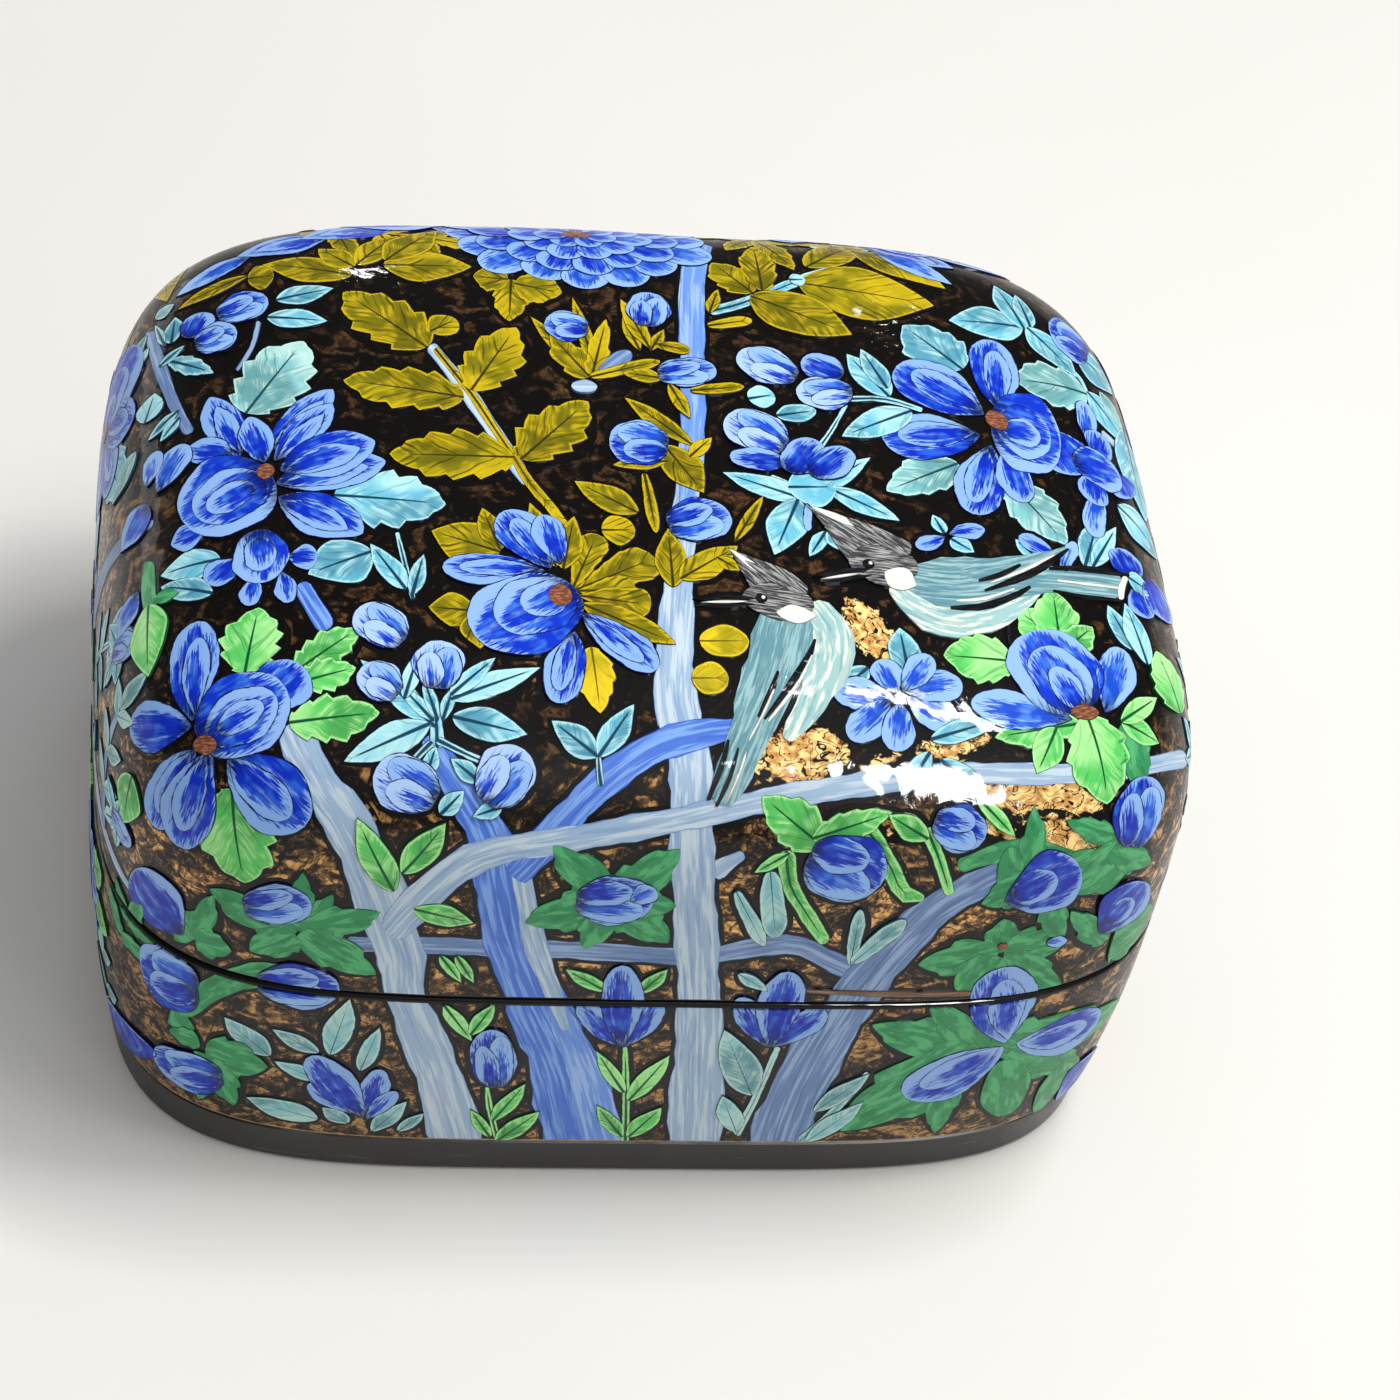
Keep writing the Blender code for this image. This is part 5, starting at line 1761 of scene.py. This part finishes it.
# The back and the ends, in millimetres along and up each side
wallPictures = {
    "back": {
        "trunks_back_left": {"layer": 0, "branches": [
            ("blueBark", [(-40, -37, 10), (-34, -20, 8), (-27, -4, 6.5), (-20, 10, 5.5), (-8, 22, 4.5),
                          (4, 30, 3)]),
            ("greyBark", [(-58, -36, 7), (-56, -18, 6), (-50, 0, 4.5), (-50, 16, 3.5), (-55, 30, 2.5)]),
        ]},
        "trunk_back_middle": {"layer": 0, "branches": [
            ("paleBark", [(2, -37, 9), (4, -18, 7), (5, 4, 6), (4, 26, 4.5), (6, 44, 4), (8, 56, 3.4)]),
        ]},
        "trunk_back_right": {"layer": 0, "branches": [
            ("greyBark", [(38, -37, 9), (36, -20, 7.5), (40, -2, 6), (48, 14, 4.5), (54, 32, 3)]),
        ]},
        "branch_back": {"layer": 1, "branches": [
            ("paleBark", [(38, -8, 4.5), (28, 6, 4.5), (8, 12, 4.2), (-14, 13, 3.8), (-36, 19, 3.4),
                          (-60, 21, 2.4)]),
        ]},
        "bloom_back_left": {"layer": 3, "strokes":
            openBloom((-44, 31), 14, 150, "turquoise", (40, -15, 250), 6)
            + calyxBud((-26, 36), 70, 8, "turquoise") + calyxBud((-60, 8), 200, 8, "turquoise")},
        "bloom_back_right": {"layer": 3, "strokes":
            openBloom((28, 33), 14, 35, "bright", (130, 180, 300), 6)
            + calyxBud((50, 24), -20, 8, "bright")},
        "bloom_back_low": {"layer": 3, "strokes":
            openBloom((-14, -6), 10, 205, "bright", (20, 300, 110), 5)
            + calyxBud((-30, -24), 110, 9, "green")},
        "bloom_back_end": {"layer": 3, "strokes":
            openBloom((56, 0), 11, -30, "turquoise", (120, 190, 240), 5)
            + calyxBud((60, -24), 60, 9, "green")},
        "leaves_back_middle": {"layer": 2, "branches": [stemOf((-10, 22), 112, 26, "ochre")], "strokes":
            leafSpray((-10, 22), 112, 26, "ochre", 3, 11) + calyxBud((14, 16), 20, 7, "ochre")},
        "leaves_back_crown": {"layer": 2, "branches": [stemOf((48, 42), 160, 22, "ochre")], "strokes":
            leafSpray((48, 42), 160, 22, "ochre", 3, 9)},
        "buds_back_right": {"layer": 2, "strokes":
            calyxBud((22, -4), 250, 10) + calyxBud((24, -24), 70, 9) + calyxBud((14, -12), 160, 7)
            + leafSpray((30, 10), 60, 10, "turquoise", 2, 6, "leaf")},
        "sprigs_back": {"layer": 2, "branches": [
            stemOf((-8, -33), 88, 13, "bright"), stemOf((14, -33), 95, 6, "bright"),
            stemOf((50, -33), 84, 12, "blade")], "strokes":
            leafSpray((-8, -33), 88, 12, "bright", 3, 5.5, "leaf")
            + leafSpray((50, -33), 84, 10, "blade", 2, 7, "leaf")
            + leafSpray((-20, -33), 100, 8, "blade", 2, 6, "leaf")},
        "buds_back_left": {"layer": 2, "strokes":
            calyxBud((-46, -10), 120, 10) + calyxBud((-48, -30), 60, 9) + calyxBud((-64, -14), 100, 8)
            + leafSpray((-36, 6), 150, 8, "turquoise", 2, 6, "leaf")},
    },
    "left": {
        "trunks_left_end": {"layer": 0, "branches": [
            ("blueBark", [(-34, -37, 8), (-32, -16, 6.5), (-22, 2, 5), (-2, 14, 3.5)]),
            ("paleBark", [(-10, -10, 4), (10, 2, 4), (28, 6, 3), (46, 5, 1.4)]),
            ("greyBark", [(-12, -37, 9), (-10, -18, 7.5), (-4, 2, 6), (4, 20, 4.2), (8, 38, 1.6)]),
        ]},
        "bloom_left_end": {"layer": 3, "strokes":
            openBloom((-22, 24), 12.5, 130, "turquoise", (20, -40, 240), 6)
            + openBloom((26, -12), 9, 240, "bright", (40, 120, 0), 5)},
        "buds_left_end": {"layer": 2, "strokes":
            calyxBud((8, -16), 110, 8) + calyxBud((-22, -22), 80, 8) + calyxBud((-46, -10), 100, 8)
            + calyxBud((8, -32), 60, 7)},
        "leaves_left_end": {"layer": 2, "branches": [
            stemOf((12, 10), 60, 22, "turquoise"), stemOf((36, 6), 95, 22, "greyBark", 2.0)], "strokes":
            leafSpray((12, 10), 60, 22, "turquoise", 3, 8, "leaf")
            + leafSpray((36, 8), 95, 22, "blade", 3, 7, "leaf")
            + calyxBud((24, 28), 60, 7, "turquoise") + calyxBud((40, 14), 0, 6, "turquoise")},
        "sprigs_left_end": {"layer": 2, "strokes":
            leafSpray((0, -33), 95, 8, "bright", 2, 5, "leaf")
            + leafSpray((-44, -32), 80, 8, "blade", 2, 6, "leaf")
            + leafSpray((38, -30), 95, 12, "blade", 2, 6, "leaf")
            + leafSpray((44, -8), 70, 8, "green", 2, 7, "calyx")},
    },
    "right": {
        "trunks_right_end": {"layer": 0, "branches": [
            ("greyBark", [(38, -37, 8), (34, -16, 6), (24, 0, 4.5), (11, 10, 3)]),
            ("blueBark", [(-46, 9, 1.4), (-26, 5, 3), (-8, -4, 4.2), (9, -16, 4)]),
            ("paleBark", [(6, -37, 9), (8, -18, 7), (12, 2, 5.5), (10, 22, 4), (14, 42, 1.6)]),
        ]},
        "bloom_right_end": {"layer": 3, "strokes":
            openBloom((34, 20), 12, 50, "turquoise", (150, 210, 300), 6)
            + openBloom((-18, -16), 9, 300, "bright", (120, 60, 180), 5)},
        "buds_right_end": {"layer": 2, "strokes":
            calyxBud((22, -18), 70, 8) + calyxBud((-34, -8), 130, 8) + calyxBud((48, -14), 90, 8)
            + calyxBud((-4, 12), 120, 7, "bright")},
        "leaves_right_end": {"layer": 2, "branches": [stemOf((-20, 8), 100, 22, "ochre")], "strokes":
            leafSpray((-20, 8), 100, 20, "turquoise", 3, 7.5, "leaf")
            + leafSpray((-38, 14), 80, 14, "turquoise", 2, 6, "leaf")},
        "sprigs_right_end": {"layer": 2, "strokes":
            leafSpray((-6, -33), 90, 10, "bright", 2, 5.5, "leaf")
            + leafSpray((24, -33), 80, 8, "blade", 2, 5.5, "leaf")
            + leafSpray((-34, -32), 100, 10, "blade", 2, 6, "leaf")
            + leafSpray((48, -32), 95, 8, "bright", 2, 5, "leaf")},
    },
}


studio = {
    "size": 3.0,
    "low": (226, 222, 215),
    "high": (232, 229, 223),
    "roughness": 0.9,
    "sky": (245, 246, 250),
    "glow": 0.54,
    "mirroredGlow": 0.1,  # what the lacquer mirrors of the sky
}


def makeStage():
    bm = bmesh.new()
    bmesh.ops.create_grid(bm, x_segments=8, y_segments=8, size=studio["size"])
    mesh = bpy.data.meshes.new("floor")
    bm.to_mesh(mesh)
    bm.free()
    material = bpy.data.materials.new("pale_floor")
    material.use_nodes = True
    shader = material.node_tree.nodes["Principled BSDF"]
    soft = noise(objectPlace(shader), 9.0, 2.0)
    colour = mixed(soft, tint(*studio["low"]), tint(*studio["high"]))
    setSocket(shader.inputs["Base Color"], colour)
    shader.inputs["Roughness"].default_value = studio["roughness"]
    mesh.materials.append(material)
    floor = bpy.data.objects.new("floor", mesh)
    bpy.context.scene.collection.objects.link(floor)


# Each lamp is put where the lacquer mirrors it at a chosen point of the picture
lamps = {
    "key": {"at": (950, 712), "away": 0.75, "size": (0.29, 0.045), "spin": -50, "glow": 92},
    "low": {"at": (955, 786), "away": 0.75, "size": (0.125, 0.42), "spin": 10, "glow": 80,
            "only": "mirrored"},
    "veil": {"at": (128, 560), "away": 0.6, "size": (0.5, 0.6), "glow": 1.4, "only": "mirrored"},
    "side": {"at": (890, 320), "away": 0.9, "size": (0.03, 0.012), "glow": 92},
    "glint": {"at": (362, 271), "away": 0.9, "size": (0.05, 0.014), "glow": 80},
    "sun": {"at": (950, 735), "away": 0.9, "size": (0.3, 0.3), "glow": 9.3, "only": "spread"},
}


def mirrorDirection(pixel):
    point = seenAt([pixel])
    settled, normal = settle(point)
    away = eyePlace() - point[0]
    away = away / np.linalg.norm(away)
    return settled[0], 2 * normal[0] * (away @ normal[0]) - away


# A lamp's first size runs along the picture's level, its second along the picture's upright
def addLamp(name, given):
    point, toLamp = mirrorDirection(given["at"])
    place = point + toLamp * given["away"]
    data = bpy.data.lights.new(name, "AREA")
    data.shape = "RECTANGLE"
    data.size, data.size_y = given["size"]
    data.energy = given["glow"] * math.pi * data.size * data.size_y
    across = eyeAxes()[0]
    level = across - toLamp * (across @ toLamp)
    level = level / np.linalg.norm(level)
    rising = np.cross(toLamp, level)
    angle = math.radians(given.get("spin", 0))
    right = level * math.cos(angle) + rising * math.sin(angle)
    up = rising * math.cos(angle) - level * math.sin(angle)
    rows = [[right[i], up[i], toLamp[i], place[i]] for i in range(3)]
    lamp = bpy.data.objects.new(name, data)
    lamp.matrix_world = Matrix(rows + [[0, 0, 0, 1]])
    lamp.visible_diffuse = given.get("only") != "mirrored"
    lamp.visible_glossy = given.get("only") != "spread"
    bpy.context.scene.collection.objects.link(lamp)


def makeLights():
    for name, given in lamps.items():
        addLamp(name, given)
    world = bpy.data.worlds.new("studio")
    bpy.context.scene.world = world
    world.use_nodes = True
    background = world.node_tree.nodes["Background"]
    background.inputs["Color"].default_value = tint(*studio["sky"])
    mirrored = world.node_tree.nodes.new("ShaderNodeLightPath").outputs["Is Glossy Ray"]
    strength = between(mirrored, 0.0, 1.0, studio["glow"], studio["mirroredGlow"])
    setSocket(background.inputs["Strength"], strength)


bpy.context.scene.view_settings.view_transform = "Standard"
makeCamera()
makeShells()
for name, picture in trunks.items():
    paintPiece(name, picture)
print("trunks and branches painted")
for name, picture in frontPictures.items():
    paintPiece(name, picture)
paintBloom("bloom_crown", crownBloom)
print("front painted")
for board, pictures in wallPictures.items():
    for name, picture in pictures.items():
        paintPiece(name, picture, board)
for number, side in enumerate(fillers["reach"]):
    paintPiece("fillers_" + side, fillSide(side, number + 1), side)
print("back and ends painted")
makeStage()
makeLights()
